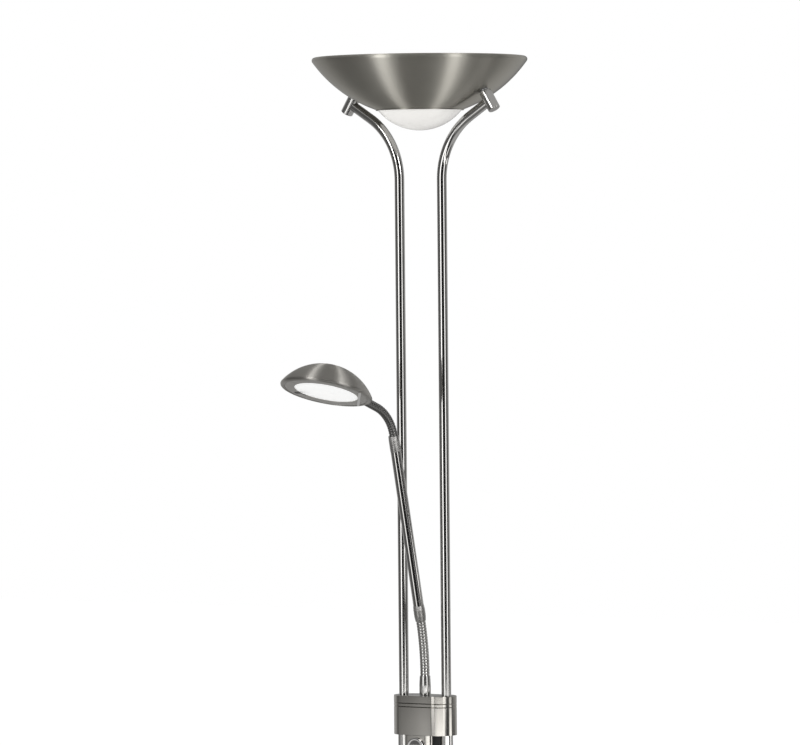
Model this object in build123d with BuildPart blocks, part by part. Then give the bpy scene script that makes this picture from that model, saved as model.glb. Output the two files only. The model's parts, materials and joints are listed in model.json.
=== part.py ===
from build123d import *
import os
from math import acos, asin, cos, degrees, radians, sin, sqrt

# Torchiere floor lamp with a reading light. Millimetres, +Z up. The origin is the centre of the base's
# underside. The reading arm leans towards -Y, which is the front; the two poles stand at +X and -X.

# ---- Driving dimensions ----------------------------------------------------------------------------
total_height = 1800.0

# Fits
running_gap = 0.05          # radial, between a round piece and its hole
seat_gap = 0.3              # between a piece at rest and its curved seat
face_gap = 0.1              # between flat faces that nearly touch
hole_gap = 0.3              # radial, around a screw that passes through
drill_run = 1.0             # how far a cut starts outside a face, or goes past it
hole_end = 0.5              # drilled past a screw's tip

# Base
base_radius = 138.0
base_height = 30.0
base_shoulder_height = 20.0
base_flat_radius = 66.0
base_corner = 9.0
base_wall = 1.2
base_lift = 1.0
pad_thickness = 2.0
weight_radius = 118.0
weight_thickness = 15.0
weight_boss_radius = 14.0
weight_recess_radius = 12.0
weight_recess_depth = 10.0
washer_radius = 10.0
washer_thickness = 1.5
grommet_radius = 4.0
grommet_bore = 2.7
grommet_flange = 5.0
grommet_flange_thickness = 1.5
grommet_height = 8.0
grommet_stub = 2.0          # inside the cover's wall

# Threaded pieces of the poles
nipple_radius = 5.0
nipple_bore = 3.5
nut_flats = 14.0
nut_thickness = 6.0
plug_length = 14.0
nipple_reach = 18.0
nipple_show = 1.5           # past a nut, or short of a plug's end

# Poles
pole_spacing = 67.0
lower_pole_radius = 8.1
lower_pole_wall = 1.2
upper_pole_radius = 6.35
upper_pole_wall = 1.0
pole_bend_radius = 95.0
pole_bend_angle = 58.0

# Collar
collar_bottom = 920.5
collar_length = 90.0
collar_depth = 44.0
collar_body_height = 36.5
collar_band_height = 4.5
collar_cap_height = 10.0
collar_wall = 3.0
collar_floor = 11.0
collar_socket_depth = 8.0
collar_groove = 0.7
collar_edge = 0.8
collar_wire_radius = 5.0
collar_screw_spacing = 30.0
screw_radius = 2.0
screw_head_radius = 3.5
screw_head_height = 3.0
screw_grip = 7.5
mount_screw_grip = 8.0
mount_hole_depth = 9.0

# Control box
control_height = 75.0
cover_width = 42.0
cover_depth = 8.5
cover_corner = 8.0
cover_wall = 1.2
boss_floor = 1.0
box_width = 40.0
box_depth = 26.5
box_wall = 2.0
box_corner = 3.0
plate_width = 38.8
plate_height = 65.0
plate_thickness = 1.0
dimmer_top_drop = 16.5      # from the collar's underside to the upper dimmer's axis
dimmer_spacing = 37.0
dimmer_body = 17.0
dimmer_body_depth = 9.5
dimmer_bush_radius = 3.5
dimmer_bush_length = 5.6
dimmer_nut_flats = 10.0
dimmer_nut_thickness = 2.2
shaft_radius = 2.4
shaft_length = 16.5
shaft_cover = 2.0           # of the dimmer's body behind the shaft
knob_disc_radius = 13.4
knob_disc_thickness = 2.4
knob_hub_radius = 5.4
knob_gap = 0.4
knob_dish_depth = 0.9
knob_dish_radius = 9.65
hub_gap = 0.6               # between the hub and the dimmer's bush
board_width = 34.0
board_thickness = 1.6
choke_radius = 7.0
choke_bore = 3.0
choke_thickness = 7.0
choke_offset = 8.0
choke_drop = 3.0            # below the upper dimmer's axis
transistor_width = 10.0
transistor_height = 15.0
transistor_depth = 4.5
transistor_offset = 10.0
transistor_rise = 6.0       # above the lower dimmer's axis
terminal_width = 24.0
terminal_height = 12.0
terminal_depth = 9.0
terminal_lift = 3.0
terminal_pitch = 7.0
terminal_bore = 2.0
terminal_bore_depth = 4.0
small_screw_radius = 1.45
case_screw_grip = 2.5
small_head_radius = 2.7
small_head_height = 1.8
slot_width = 0.8
slot_depth = 1.0
slot_share = 1.5            # the slot's length over its head's radius
case_screw_spacing = 20.0
case_boss_radius = 3.2
mount_screw_spacing = 14.0
mount_screw_setback = 7.5

# Bowl
bowl_radius = 140.0
bowl_curve_radius = 170.7
bowl_wall = 1.0
bowl_rim_roll = 3.8
bowl_rim_turn = 205.0
bowl_opening_radius = 55.5
bowl_hem_radius = 1.5
glass_curve_radius = 69.5
glass_drop = 27.5
glass_wall = 3.0
glass_flange_radius = 63.0
glass_flange_thickness = 3.0
glass_clearance = 0.9
clip_width = 9.0
clip_thickness = 0.8
clip_reach = 9.0
clip_overlap = 4.0
clip_step = 1.0
clip_foot = 3.0
clip_turns = (90, 210, 330)

# Knobs that hold the bowl
stud_ring_radius = 101.0    # where the stud's axis meets the bowl's outer face
bowl_knob_radius = 8.0
bowl_knob_length = 27.0
bowl_knob_edge = 0.6
knob_spacer_length = 3.0
knob_spacer_radius = 5.5
stud_radius = 4.0
stud_depth = 9.0            # into the knob
stud_bore = 1.5
stud_show = 2.0             # past its nut
stud_drill_start = 5.0      # outside the bowl's wall
stud_drill_depth = 12.0
pole_bite = 3.0             # how far the pole's end sits in the knob
seat_washer_radius = 7.5
seat_washer_thickness = 2.5
saddle_blank = 4.0          # cut away to the bowl's curve
stud_nut_flats = 13.0
stud_nut_thickness = 5.0

# Lamp inside the bowl
bracket_width = 20.0
bracket_thickness = 1.5
bracket_tab_reach = 9.0
bracket_corner = 1.0
tab_drill_run = 3.0
holder_length = 14.0
holder_width = 18.0
holder_height = 24.0
holder_corner = 2.0
tube_drop = 9.0             # of the tube's axis below the lampholders' tops
tube_length = 117.6
tube_radius = 5.0
tube_body_length = 80.0
tube_cap_radius = 3.8
tube_cap_length = 14.0
tube_pinch_thickness = 3.0
tube_pinch_width = 6.5
tube_pinch_overlap = 1.0    # into each cap
tube_end_fillet = 3.0
holder_bite = 3.5
contact_radius = 1.6
contact_backing = 4.0
contact_travel = 2.0
holder_play = 0.6
holder_screw_grip = 6.0
shield_length = 160.0
shield_width = 76.0
shield_thickness = 4.0
shield_rise = 33.0          # above the bracket
shield_corner = 4.0
shield_edge = 0.6
carrier_width = 24.0
carrier_thickness = 1.2
carrier_lip = 5.0
carrier_foot = 9.0
carrier_play = 1.0

# Reading arm
socket_height = 24.5
socket_foot_radius = 7.5
socket_top_radius = 6.9
socket_foot_height = 12.0
socket_edge = 0.3
socket_edge_height = 1.0
stub_show = 1.0             # of a socket's stub past its nut
lower_neck_radius = 6.2
lower_neck_root = 5.6
lower_neck_bore = 3.6
lower_neck_rise = 72.0
arm_lean = 13.4
arm_length = 248.8
arm_radius = 6.8
arm_wall = 1.0
ferrule_length = 21.0
lower_ferrule_bulge = 7.55
upper_ferrule_bulge = 7.1
ferrule_spigot = 10.0
ferrule_bulge_start = 8.8
ferrule_bulge_end = 14.3
ferrule_edge = 0.2
ferrule_edge_height = 1.0
upper_neck_radius = 5.5
upper_neck_root = 4.95
upper_neck_bore = 3.2
upper_bend_radius = 46.0
upper_bend_angle = 29.6
upper_sweep_radius = 62.0
upper_sweep_angle = 28.2
upper_neck_straight = 43.8
rib_pitch = 2.3
neck_split_gap = 0.2
rib_root_share = 0.05       # of the pitch, where a rib's flank starts
rib_crest_share = 0.30      # of the pitch, where its crest starts
hinge_shares = (0.36, 0.64)  # of a neck's length, where it tilts and where it swings

# Reading head
shade_radius = 59.2
shade_curve_radius = 69.3
shade_wall = 1.0
shade_edge_roll = 2.3
shade_lip_width = 3.5
shade_hole_run = 25.0
ring_thickness = 1.0
ring_opening_radius = 41.0
tab_length = 5.0
tab_width = 7.0
tab_thickness = 0.8
tab_count = 3
tab_start = 60.0
disc_radius = 44.5
disc_thickness = 2.5
disc_edge = 0.5
head_neck_height = 15.4     # of the neck's axis above the shade's underside
head_neck_reach = 68.5      # from the head's axis to the socket's mouth
head_socket_radius = 6.9
head_socket_edge = 0.6
head_wire_radius = 2.6
head_stub_radius = 4.5
head_nut_flats = 12.0
head_nut_thickness = 4.0
head_nut_face = 36.0        # from the head's axis to the inner seat
bracket_sheet = 1.0
bracket_strip_width = 10.0
bracket_margin = 1.0
reflector_gap = 3.0
reflector_wall = 0.8
reflector_top_radius = 14.0
reflector_window_front = 8.0  # inside the top hole, so that the two openings join
reflector_window_side = 1.5
head_holder_width = 16.0
head_holder_height = 15.0
head_holder_length = 13.0
head_holder_front = 15.0
head_holder_corner = 1.0
bulb_radius = 6.5
bulb_length = 44.0
bulb_end_fillet = 5.5
bulb_pin_radius = 5.0
bulb_pin_length = 3.5
bulb_pin_hole = 4.0
bulb_axis_height = 13.5
spring_width = 4.5
spring_thickness = 0.5
spring_foot = 7.0
spring_reach = 10.0
spring_drop = 2.4
strip_offset = 42.6
strip_length = 70.0
strip_width = 3.2
strip_thickness = 0.6
strip_azimuth = -54.0


# ---- Helpers ---------------------------------------------------------------------------------------
def save(piece, name):
    """Label a finished piece and write its file."""
    piece.part.label = name
    export_step(piece.part, "parts/" + name + ".step")


def level(height, x=0.0, y=0.0):
    """A horizontal plane at a height, centred at x, y."""
    return Plane((x, y, height))


def facing_front(y, x=0.0, height=0.0):
    """A plane whose normal points to the front (-Y), with +X to the right."""
    return Plane(origin=(x, y, height), x_dir=(1, 0, 0), z_dir=(0, -1, 0))


def add_tube(plane, outer, inner, length):
    """A tube, or a rod where inner is 0, from a plane along its normal."""
    with BuildSketch(plane) as outline:
        Circle(outer)
        if inner > 0:
            Circle(inner, mode=Mode.SUBTRACT)
    extrude(outline.sketch, amount=length)


def add_nut(plane, flats, bore, thickness):
    """A hexagon nut from a plane along its normal."""
    with BuildSketch(plane) as outline:
        RegularPolygon(radius=flats / 2, side_count=6, major_radius=False)
        Circle(bore, mode=Mode.SUBTRACT)
    extrude(outline.sketch, amount=thickness)


def add_block(plane, width, height, depth, mode=Mode.ADD):
    """A block centred on a plane's origin, standing on it along its normal."""
    with BuildSketch(plane) as outline:
        Rectangle(width, height)
    extrude(outline.sketch, amount=depth, mode=mode)


def add_turned(points, plane=Plane.XZ, axis=Axis.Z):
    """A turned piece from its half section, given as (radius, height) points."""
    with BuildSketch(plane) as section:
        with BuildLine():
            Polyline(*points, close=True)
        make_face()
    revolve(section.sketch, axis=axis)


def cut_hole(plane, radius, depth):
    """A round hole from a plane along its normal."""
    with BuildSketch(plane) as outline:
        Circle(radius)
    extrude(outline.sketch, amount=depth, mode=Mode.SUBTRACT)


def walk(start, heading, legs, distance):
    """Where a path in the YZ plane is after a distance: y, z and its lean from the vertical in degrees.

    Each leg is (None, length) for a straight or (radius, angle) for a bend towards the front.
    """
    y, z = start
    left = distance
    for radius, size in legs:
        length = size if radius is None else radius * radians(size)
        step = min(left, length)
        if radius is None:
            y -= step * sin(radians(heading))
            z += step * cos(radians(heading))
        else:
            turned = heading + degrees(step / radius)
            y -= radius * (cos(radians(heading)) - cos(radians(turned)))
            z += radius * (sin(radians(turned)) - sin(radians(heading)))
            heading = turned
        left -= step
        if left <= 0:
            break
    return y, z, heading


def leg_lengths(legs):
    """The length of each leg of a path."""
    return [size if radius is None else radius * radians(size) for radius, size in legs]


def path_plane(path, distance):
    """The plane square to a neck's path, with a steady X axis."""
    y, z, lean = walk(*path, distance)
    direction = (0, -sin(radians(lean)), cos(radians(lean)))
    return Plane(origin=(0, y, z), x_dir=(1, 0, 0), z_dir=direction)


def add_ribbed_hose(path, begin, end, plain_begin, plain_end, root, crest, bore):
    """One half of a gooseneck: a ribbed tube along its path, with plain stretches at its ends."""
    first = begin + plain_begin
    count = max(1, round((end - plain_end - first) / rib_pitch))
    pitch = (end - plain_end - first) / count
    rib_shape = (
        (rib_root_share, root),
        (rib_crest_share, crest),
        (1 - rib_crest_share, crest),
        (1 - rib_root_share, root),
    )
    circles = [(begin, root)]
    for rib in range(count):
        circles += [(first + (rib + share) * pitch, radius) for share, radius in rib_shape]
    circles.append((end, root))
    sections = []
    for distance, radius in circles:
        with BuildSketch(path_plane(path, distance)) as section:
            Circle(radius)
        sections.append(section.sketch)
    loft(sections, ruled=True)
    marks = [0.0]
    for length in leg_lengths(path[2]):
        marks.append(marks[-1] + length)
    inner_marks = [mark for mark in marks if begin + seat_gap < mark < end - seat_gap]
    stops = [begin] + inner_marks + [end]
    with BuildLine() as bore_line:
        for low, high in zip(stops, stops[1:]):
            ends = [path_plane(path, place).origin for place in (low, (low + high) / 2, high)]
            if walk(*path, low)[2] == walk(*path, high)[2]:
                Line(ends[0], ends[2])
            else:
                ThreePointArc(*ends)
    with BuildSketch(path_plane(path, begin)) as bore_outline:
        Circle(bore)
    sweep(bore_outline.sketch, path=bore_line.line, mode=Mode.SUBTRACT)


os.makedirs("parts", exist_ok=True)
sides = ((-1, "left"), (1, "right"))
pole_places = [(side * pole_spacing / 2, 0) for side, name in sides]

# ---- Base ------------------------------------------------------------------------------------------
weight_bottom = pad_thickness
weight_top = weight_bottom + weight_thickness
cover_inner_top = base_height - base_wall
recess_top = weight_bottom + weight_recess_depth
plug_radius = lower_pole_radius - lower_pole_wall - running_gap
nipple_hole = nipple_radius + running_gap

with BuildPart() as base_cover:
    with BuildSketch(Plane.XZ):
        with BuildLine():
            Polyline(
                (0, base_lift),
                (base_radius, base_lift),
                (base_radius, base_shoulder_height),
                (base_flat_radius, base_height),
                (0, base_height),
                close=True,
            )
        make_face()
    revolve(axis=Axis.Z)
    outer_edges = base_cover.edges().filter_by(GeomType.CIRCLE).group_by(SortBy.RADIUS)[-1]
    fillet(outer_edges.sort_by(Axis.Z)[-1], radius=base_corner)
    offset(amount=-base_wall, openings=base_cover.faces().sort_by(Axis.Z)[0])
    with Locations(*[(x, y, base_height) for x, y in pole_places]):
        Cylinder(nipple_hole, 2 * base_wall + drill_run, mode=Mode.SUBTRACT)
    grommet_drill = facing_front(base_radius + drill_run, height=grommet_height)
    cut_hole(grommet_drill, grommet_radius + running_gap, 2 * base_corner)
save(base_cover, "base_cover")

with BuildPart() as base_weight:
    add_tube(level(weight_bottom), weight_radius, 0, weight_thickness)
    for x, y in pole_places:
        add_tube(level(weight_top, x, y), weight_boss_radius, 0, cover_inner_top - weight_top)
    for x, y in pole_places:
        cut_hole(level(weight_bottom, x, y), weight_recess_radius, weight_recess_depth)
        cut_hole(level(weight_bottom, x, y), nipple_hole, cover_inner_top)
save(base_weight, "base_weight")

with BuildPart() as base_pad:
    add_tube(level(0), weight_radius, 0, pad_thickness)
save(base_pad, "base_pad")

base_nut_top = recess_top - washer_thickness
base_nut_bottom = base_nut_top - nut_thickness
base_nipple_bottom = base_nut_bottom - nipple_show
with BuildPart() as base_washers:
    for x, y in pole_places:
        add_tube(level(base_nut_top, x, y), washer_radius, nipple_hole, washer_thickness)
save(base_washers, "base_washers")

with BuildPart() as cord_grommet:
    flange_face = base_radius + running_gap + grommet_flange_thickness
    outlet = facing_front(flange_face, height=grommet_height)
    add_tube(outlet, grommet_flange, 0, grommet_flange_thickness)
    add_tube(outlet, grommet_radius, 0, grommet_flange_thickness + base_wall + grommet_stub)
    cut_hole(outlet, grommet_bore, grommet_flange_thickness + base_wall + grommet_stub + drill_run)
    outer_edges = cord_grommet.edges().filter_by(GeomType.CIRCLE).sort_by(Axis.Y)[-2:]
    fillet(outer_edges.sort_by(SortBy.RADIUS)[-1], radius=grommet_flange_thickness / 2)
save(cord_grommet, "cord_grommet")

# ---- Lower poles -----------------------------------------------------------------------------------
collar_floor_top = collar_bottom + collar_floor
lower_pole_top = collar_bottom + collar_socket_depth
lower_pole_length = lower_pole_top - base_height

for side, name in sides:
    with BuildPart() as lower_pole:
        pole_foot = level(base_height, side * pole_spacing / 2)
        add_tube(pole_foot, lower_pole_radius, lower_pole_radius - lower_pole_wall, lower_pole_length)
    save(lower_pole, "lower_pole_" + name)

with BuildPart() as pole_plugs:
    for x, y in pole_places:
        for bottom in (base_height, lower_pole_top - plug_length):
            add_tube(level(bottom, x, y), plug_radius, nipple_hole, plug_length)
save(pole_plugs, "pole_plugs")

# ---- Collar ----------------------------------------------------------------------------------------
collar_band_bottom = collar_bottom + collar_body_height
collar_cap_bottom = collar_band_bottom + collar_band_height
collar_top = collar_cap_bottom + collar_cap_height
collar_nut_top = collar_floor_top + nut_thickness
upper_pole_bottom = collar_nut_top + seat_gap
collar_screw_places = [(side * collar_screw_spacing / 2, 0) for side, name in sides]
mount_screw_places = [(side * mount_screw_spacing / 2, mount_screw_setback) for side, name in sides]
screw_hole = screw_radius + hole_gap
head_hole = screw_head_radius + hole_gap


def add_obround(bottom, height, length, depth):
    """A drum with flat front and back and round ends."""
    with BuildSketch(level(bottom)) as outline:
        SlotOverall(length, depth)
    extrude(outline.sketch, amount=height)


with BuildPart() as collar_body:
    add_obround(collar_bottom, collar_body_height, collar_length, collar_depth)
    chamfer(collar_body.faces().sort_by(Axis.Z)[-1].edges(), length=collar_groove)
    with BuildSketch(level(collar_floor_top)):
        SlotOverall(collar_length - 2 * collar_wall, collar_depth - 2 * collar_wall)
    extrude(amount=collar_body_height, mode=Mode.SUBTRACT)
    for x, y in pole_places:
        cut_hole(level(collar_bottom, x, y), lower_pole_radius + running_gap, collar_socket_depth)
        cut_hole(level(collar_bottom, x, y), nipple_hole, collar_floor)
    for x, y in collar_screw_places:
        cut_hole(level(collar_bottom, x, y), screw_hole, collar_floor)
        cut_hole(level(collar_bottom, x, y), head_hole, screw_head_height + seat_gap)
    for x, y in mount_screw_places:
        cut_hole(level(collar_bottom, x, y), screw_radius + running_gap, mount_hole_depth)
    cut_hole(level(collar_bottom), collar_wire_radius, collar_floor)
save(collar_body, "collar_body")

with BuildPart() as collar_band:
    add_obround(collar_band_bottom, collar_band_height, collar_length, collar_depth)
    chamfer(collar_band.edges().filter_by(Plane.XY), length=collar_groove)
    with BuildSketch(level(collar_band_bottom)):
        SlotOverall(collar_length - 2 * collar_wall, collar_depth - 2 * collar_wall)
    extrude(amount=collar_band_height, mode=Mode.SUBTRACT)
save(collar_band, "collar_band")

with BuildPart() as collar_cap:
    add_obround(collar_cap_bottom, collar_cap_height, collar_length, collar_depth)
    chamfer(collar_cap.faces().sort_by(Axis.Z)[0].edges(), length=collar_groove)
    fillet(collar_cap.faces().sort_by(Axis.Z)[-1].edges(), radius=collar_edge)
    for x, y in pole_places:
        cut_hole(level(collar_cap_bottom, x, y), upper_pole_radius + running_gap, collar_cap_height)
    for x, y in collar_screw_places:
        cut_hole(level(collar_cap_bottom, x, y), screw_radius + running_gap, screw_grip + hole_end)
    cut_hole(level(collar_cap_bottom), nipple_hole, collar_cap_height)
save(collar_cap, "collar_cap")

with BuildPart() as pole_nipples:
    collar_nipple_bottom = lower_pole_top - plug_length + nipple_show
    base_nipple_length = base_height + nipple_reach - base_nipple_bottom
    collar_nipple_length = upper_pole_bottom + nipple_reach - collar_nipple_bottom
    for x, y in pole_places:
        add_tube(level(base_nipple_bottom, x, y), nipple_radius, nipple_bore, base_nipple_length)
        add_tube(level(collar_nipple_bottom, x, y), nipple_radius, nipple_bore, collar_nipple_length)
save(pole_nipples, "pole_nipples")

# One size of nut holds the poles at the base and in the collar, and the arm's socket under the cap.
with BuildPart() as hexagon_nuts:
    for x, y in pole_places:
        add_nut(level(base_nut_bottom, x, y), nut_flats, nipple_hole, nut_thickness)
        add_nut(level(collar_floor_top, x, y), nut_flats, nipple_hole, nut_thickness)
    add_nut(level(collar_cap_bottom - nut_thickness), nut_flats, nipple_hole, nut_thickness)
save(hexagon_nuts, "hexagon_nuts")

# ---- Control box -----------------------------------------------------------------------------------
control_top = collar_bottom - seat_gap
control_bottom = control_top - control_height
control_middle = (control_top + control_bottom) / 2
cover_front = -collar_depth / 2
cover_back = cover_front + cover_depth
box_front = cover_back + face_gap
plate_front = box_front - plate_thickness
box_back = box_front + box_depth
dimmer_heights = (collar_bottom - dimmer_top_drop, collar_bottom - dimmer_top_drop - dimmer_spacing)
case_screw_height = sum(dimmer_heights) / 2
case_screw_places = [side * case_screw_spacing / 2 for side, name in sides]
case_hole = small_screw_radius + hole_gap
board_front = box_front + dimmer_body_depth + face_gap
board_back = board_front + board_thickness

with BuildPart() as control_cover:
    with BuildSketch(level(control_bottom, y=(cover_front + cover_back) / 2)) as cover_outline:
        Rectangle(cover_width, cover_depth)
        fillet(cover_outline.vertices().group_by(Axis.Y)[0], radius=cover_corner)
    extrude(amount=control_height)
    offset(amount=-cover_wall, openings=control_cover.faces().sort_by(Axis.Y)[-1])
    for x in case_screw_places:
        boss_root = facing_front(plate_front - face_gap, x, case_screw_height)
        add_tube(boss_root, case_boss_radius, 0, plate_front - face_gap - cover_front - cover_wall / 2)
        boss_hole_depth = plate_front - cover_front - cover_wall - boss_floor
        cut_hole(boss_root, small_screw_radius + running_gap, boss_hole_depth)
    for height in dimmer_heights:
        cut_hole(facing_front(cover_back, height=height), knob_hub_radius + hole_gap, cover_depth + drill_run)
save(control_cover, "control_cover")

with BuildPart() as control_box:
    with BuildSketch(level(control_bottom, y=(box_front + box_back) / 2)) as box_outline:
        Rectangle(box_width, box_depth)
        fillet(box_outline.vertices().group_by(Axis.Y)[-1], radius=box_corner)
    extrude(amount=control_height)
    offset(amount=-box_wall, openings=control_box.faces().sort_by(Axis.Y)[0])
    for x in case_screw_places:
        case_drill = facing_front(box_back + drill_run, x, case_screw_height)
        cut_hole(case_drill, case_hole, box_wall + 2 * drill_run)
    lid_drill = control_top - box_wall - drill_run
    for x, y in mount_screw_places:
        cut_hole(level(lid_drill, x, y), screw_hole, box_wall + 2 * drill_run)
    cut_hole(level(lid_drill), collar_wire_radius, box_wall + 2 * drill_run)
save(control_box, "control_box")

with BuildPart() as dimmer_plate:
    add_block(facing_front(box_front, height=control_middle), plate_width, plate_height, plate_thickness)
    for height in dimmer_heights:
        bush_place = facing_front(box_front, height=height)
        cut_hole(bush_place, dimmer_bush_radius + running_gap, plate_thickness)
    for x in case_screw_places:
        screw_place = facing_front(box_front, x, case_screw_height)
        cut_hole(screw_place, small_screw_radius + running_gap, plate_thickness)
save(dimmer_plate, "dimmer_plate")

with BuildPart() as circuit_board:
    add_block(facing_front(board_back, height=control_middle), board_width, plate_height, board_thickness)
    for x in case_screw_places:
        cut_hole(facing_front(board_back, x, case_screw_height), case_hole, board_thickness)
save(circuit_board, "circuit_board")

shaft_back = box_front + dimmer_body_depth - shaft_cover
bush_front = plate_front - dimmer_bush_length + plate_thickness
knob_back = cover_front - knob_gap
knob_front = knob_back - knob_disc_thickness
shaft_front = shaft_back - shaft_length
with BuildPart() as dimmers:
    for height in dimmer_heights:
        body_back = facing_front(board_front - face_gap, height=height)
        add_block(body_back, dimmer_body, dimmer_body, dimmer_body_depth)
        add_tube(facing_front(box_front, height=height), dimmer_bush_radius, 0, dimmer_bush_length)
        cut_hole(facing_front(shaft_back + hole_end, height=height), shaft_radius + running_gap, shaft_length)
        nut_place = facing_front(plate_front, height=height)
        add_nut(nut_place, dimmer_nut_flats, dimmer_bush_radius + running_gap, dimmer_nut_thickness)
save(dimmers, "dimmers")

for height, name in zip(dimmer_heights, ("upper", "lower")):
    with BuildPart() as dimmer_shaft:
        add_tube(facing_front(shaft_back, height=height), shaft_radius, 0, shaft_length)
    save(dimmer_shaft, "dimmer_shaft_" + name)

    with BuildPart() as dimmer_knob:
        hub_back = bush_front - hub_gap
        add_tube(facing_front(knob_back, height=height), knob_disc_radius, 0, knob_disc_thickness)
        fillet(dimmer_knob.faces().sort_by(Axis.Y)[0].edges(), radius=knob_dish_depth)
        add_tube(facing_front(hub_back, height=height), knob_hub_radius, 0, hub_back - knob_back)
        dish_curve = (knob_dish_radius**2 + knob_dish_depth**2) / (2 * knob_dish_depth)
        with Locations((0, knob_front + knob_dish_depth - dish_curve, height)):
            Sphere(dish_curve, mode=Mode.SUBTRACT)
        cut_hole(facing_front(hub_back, height=height), shaft_radius + running_gap,
                 hub_back - shaft_front + running_gap)
    save(dimmer_knob, "dimmer_knob_" + name)

# Two chokes and two power transistors stand on the board's back.
with BuildPart() as board_components:
    for side, name in sides:
        choke_height = dimmer_heights[0] - choke_drop
        choke_place = facing_front(board_back + choke_thickness, side * choke_offset, choke_height)
        add_tube(choke_place, choke_radius, choke_bore, choke_thickness)
        chip_height = dimmer_heights[1] + transistor_rise
        chip_place = facing_front(board_back + transistor_depth, side * transistor_offset, chip_height)
        add_block(chip_place, transistor_width, transistor_height, transistor_depth)
save(board_components, "board_components")

with BuildPart() as terminal_block:
    terminal_middle = control_bottom + box_wall + terminal_lift + terminal_height / 2
    terminal_back = board_back + terminal_depth
    terminal_place = facing_front(terminal_back, height=terminal_middle)
    add_block(terminal_place, terminal_width, terminal_height, terminal_depth)
    for step in (-1, 0, 1):
        wire_place = facing_front(terminal_back, step * terminal_pitch, terminal_middle)
        cut_hole(wire_place, terminal_bore, terminal_bore_depth)
save(terminal_block, "terminal_block")

# Two long screws draw the collar's cap down; two short ones hang the control box from its floor.
with BuildPart() as collar_screws:
    long_head = collar_bottom + seat_gap
    for x, y in collar_screw_places:
        add_tube(level(long_head, x, y), screw_head_radius, 0, screw_head_height)
        add_tube(level(long_head, x, y), screw_radius, 0, collar_cap_bottom + screw_grip - long_head)
        slot_length = slot_share * screw_head_radius
        add_block(level(long_head, x, y), slot_length, slot_width, slot_depth, mode=Mode.SUBTRACT)
    short_head = control_top - box_wall - face_gap
    for x, y in mount_screw_places:
        add_tube(level(short_head - screw_head_height, x, y), screw_head_radius, 0, screw_head_height)
        add_tube(level(short_head, x, y), screw_radius, 0, collar_bottom + mount_screw_grip - short_head)
save(collar_screws, "collar_screws")

# ---- Bowl ------------------------------------------------------------------------------------------
rim_angle = asin((bowl_radius - bowl_rim_roll) / (bowl_curve_radius - bowl_rim_roll))
bowl_centre_height = total_height - bowl_rim_roll + (bowl_curve_radius - bowl_rim_roll) * cos(rim_angle)
bowl_inner_curve = bowl_curve_radius - bowl_wall


def bowl_height(radius, curve):
    """Height of a sphere about the bowl's centre of curvature, at a distance from the lamp's axis."""
    return bowl_centre_height - sqrt(curve**2 - radius**2)


def sphere_point(curve, angle):
    """A point of the bowl's section at an angle from straight down, in radians."""
    return curve * sin(angle), bowl_centre_height - curve * cos(angle)


opening_angle = asin((bowl_opening_radius + bowl_hem_radius) / bowl_curve_radius)
middle_angle = (opening_angle + rim_angle) / 2
inner_roll = bowl_rim_roll - bowl_wall
roll_centre = sphere_point(bowl_curve_radius - bowl_rim_roll, rim_angle)
roll_end = rim_angle + radians(bowl_rim_turn)


def roll_point(radius, angle):
    """A point of the rolled rim, at an angle from straight down, in radians."""
    return roll_centre[0] + radius * sin(angle), roll_centre[1] - radius * cos(angle)


hem_height = bowl_height(bowl_opening_radius + bowl_hem_radius, bowl_curve_radius - bowl_wall / 2)
with BuildPart() as bowl:
    with BuildSketch(Plane.XZ):
        with BuildLine():
            roll_angles = (rim_angle, (rim_angle + roll_end) / 2, roll_end)
            wall_angles = (opening_angle, middle_angle, rim_angle)
            ThreePointArc(*[sphere_point(bowl_curve_radius, a) for a in wall_angles])
            ThreePointArc(*[roll_point(bowl_rim_roll, a) for a in roll_angles])
            Line(roll_point(bowl_rim_roll, roll_end), roll_point(inner_roll, roll_end))
            ThreePointArc(*[roll_point(inner_roll, a) for a in reversed(roll_angles)])
            ThreePointArc(*[sphere_point(bowl_inner_curve, a) for a in reversed(wall_angles)])
            Line(
                sphere_point(bowl_inner_curve, opening_angle),
                sphere_point(bowl_curve_radius, opening_angle),
            )
        make_face()
    revolve(axis=Axis.Z)
    with BuildSketch(Plane.XZ):
        with Locations((bowl_opening_radius + bowl_hem_radius, hem_height)):
            Circle(bowl_hem_radius)
    revolve(axis=Axis.Z)
    stud_tilt = radians(90 - pole_bend_angle)
    for side, name in sides:
        foot = (side * stud_ring_radius, 0, bowl_height(stud_ring_radius, bowl_curve_radius))
        outward = (side * sin(stud_tilt), 0, -cos(stud_tilt))
        drill_place = Vector(*foot) + Vector(*outward) * stud_drill_start
        drill = Plane(origin=drill_place, x_dir=(0, 1, 0), z_dir=-Vector(*outward))
        cut_hole(drill, stud_radius + hole_gap, stud_drill_depth)
save(bowl, "bowl")

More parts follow.
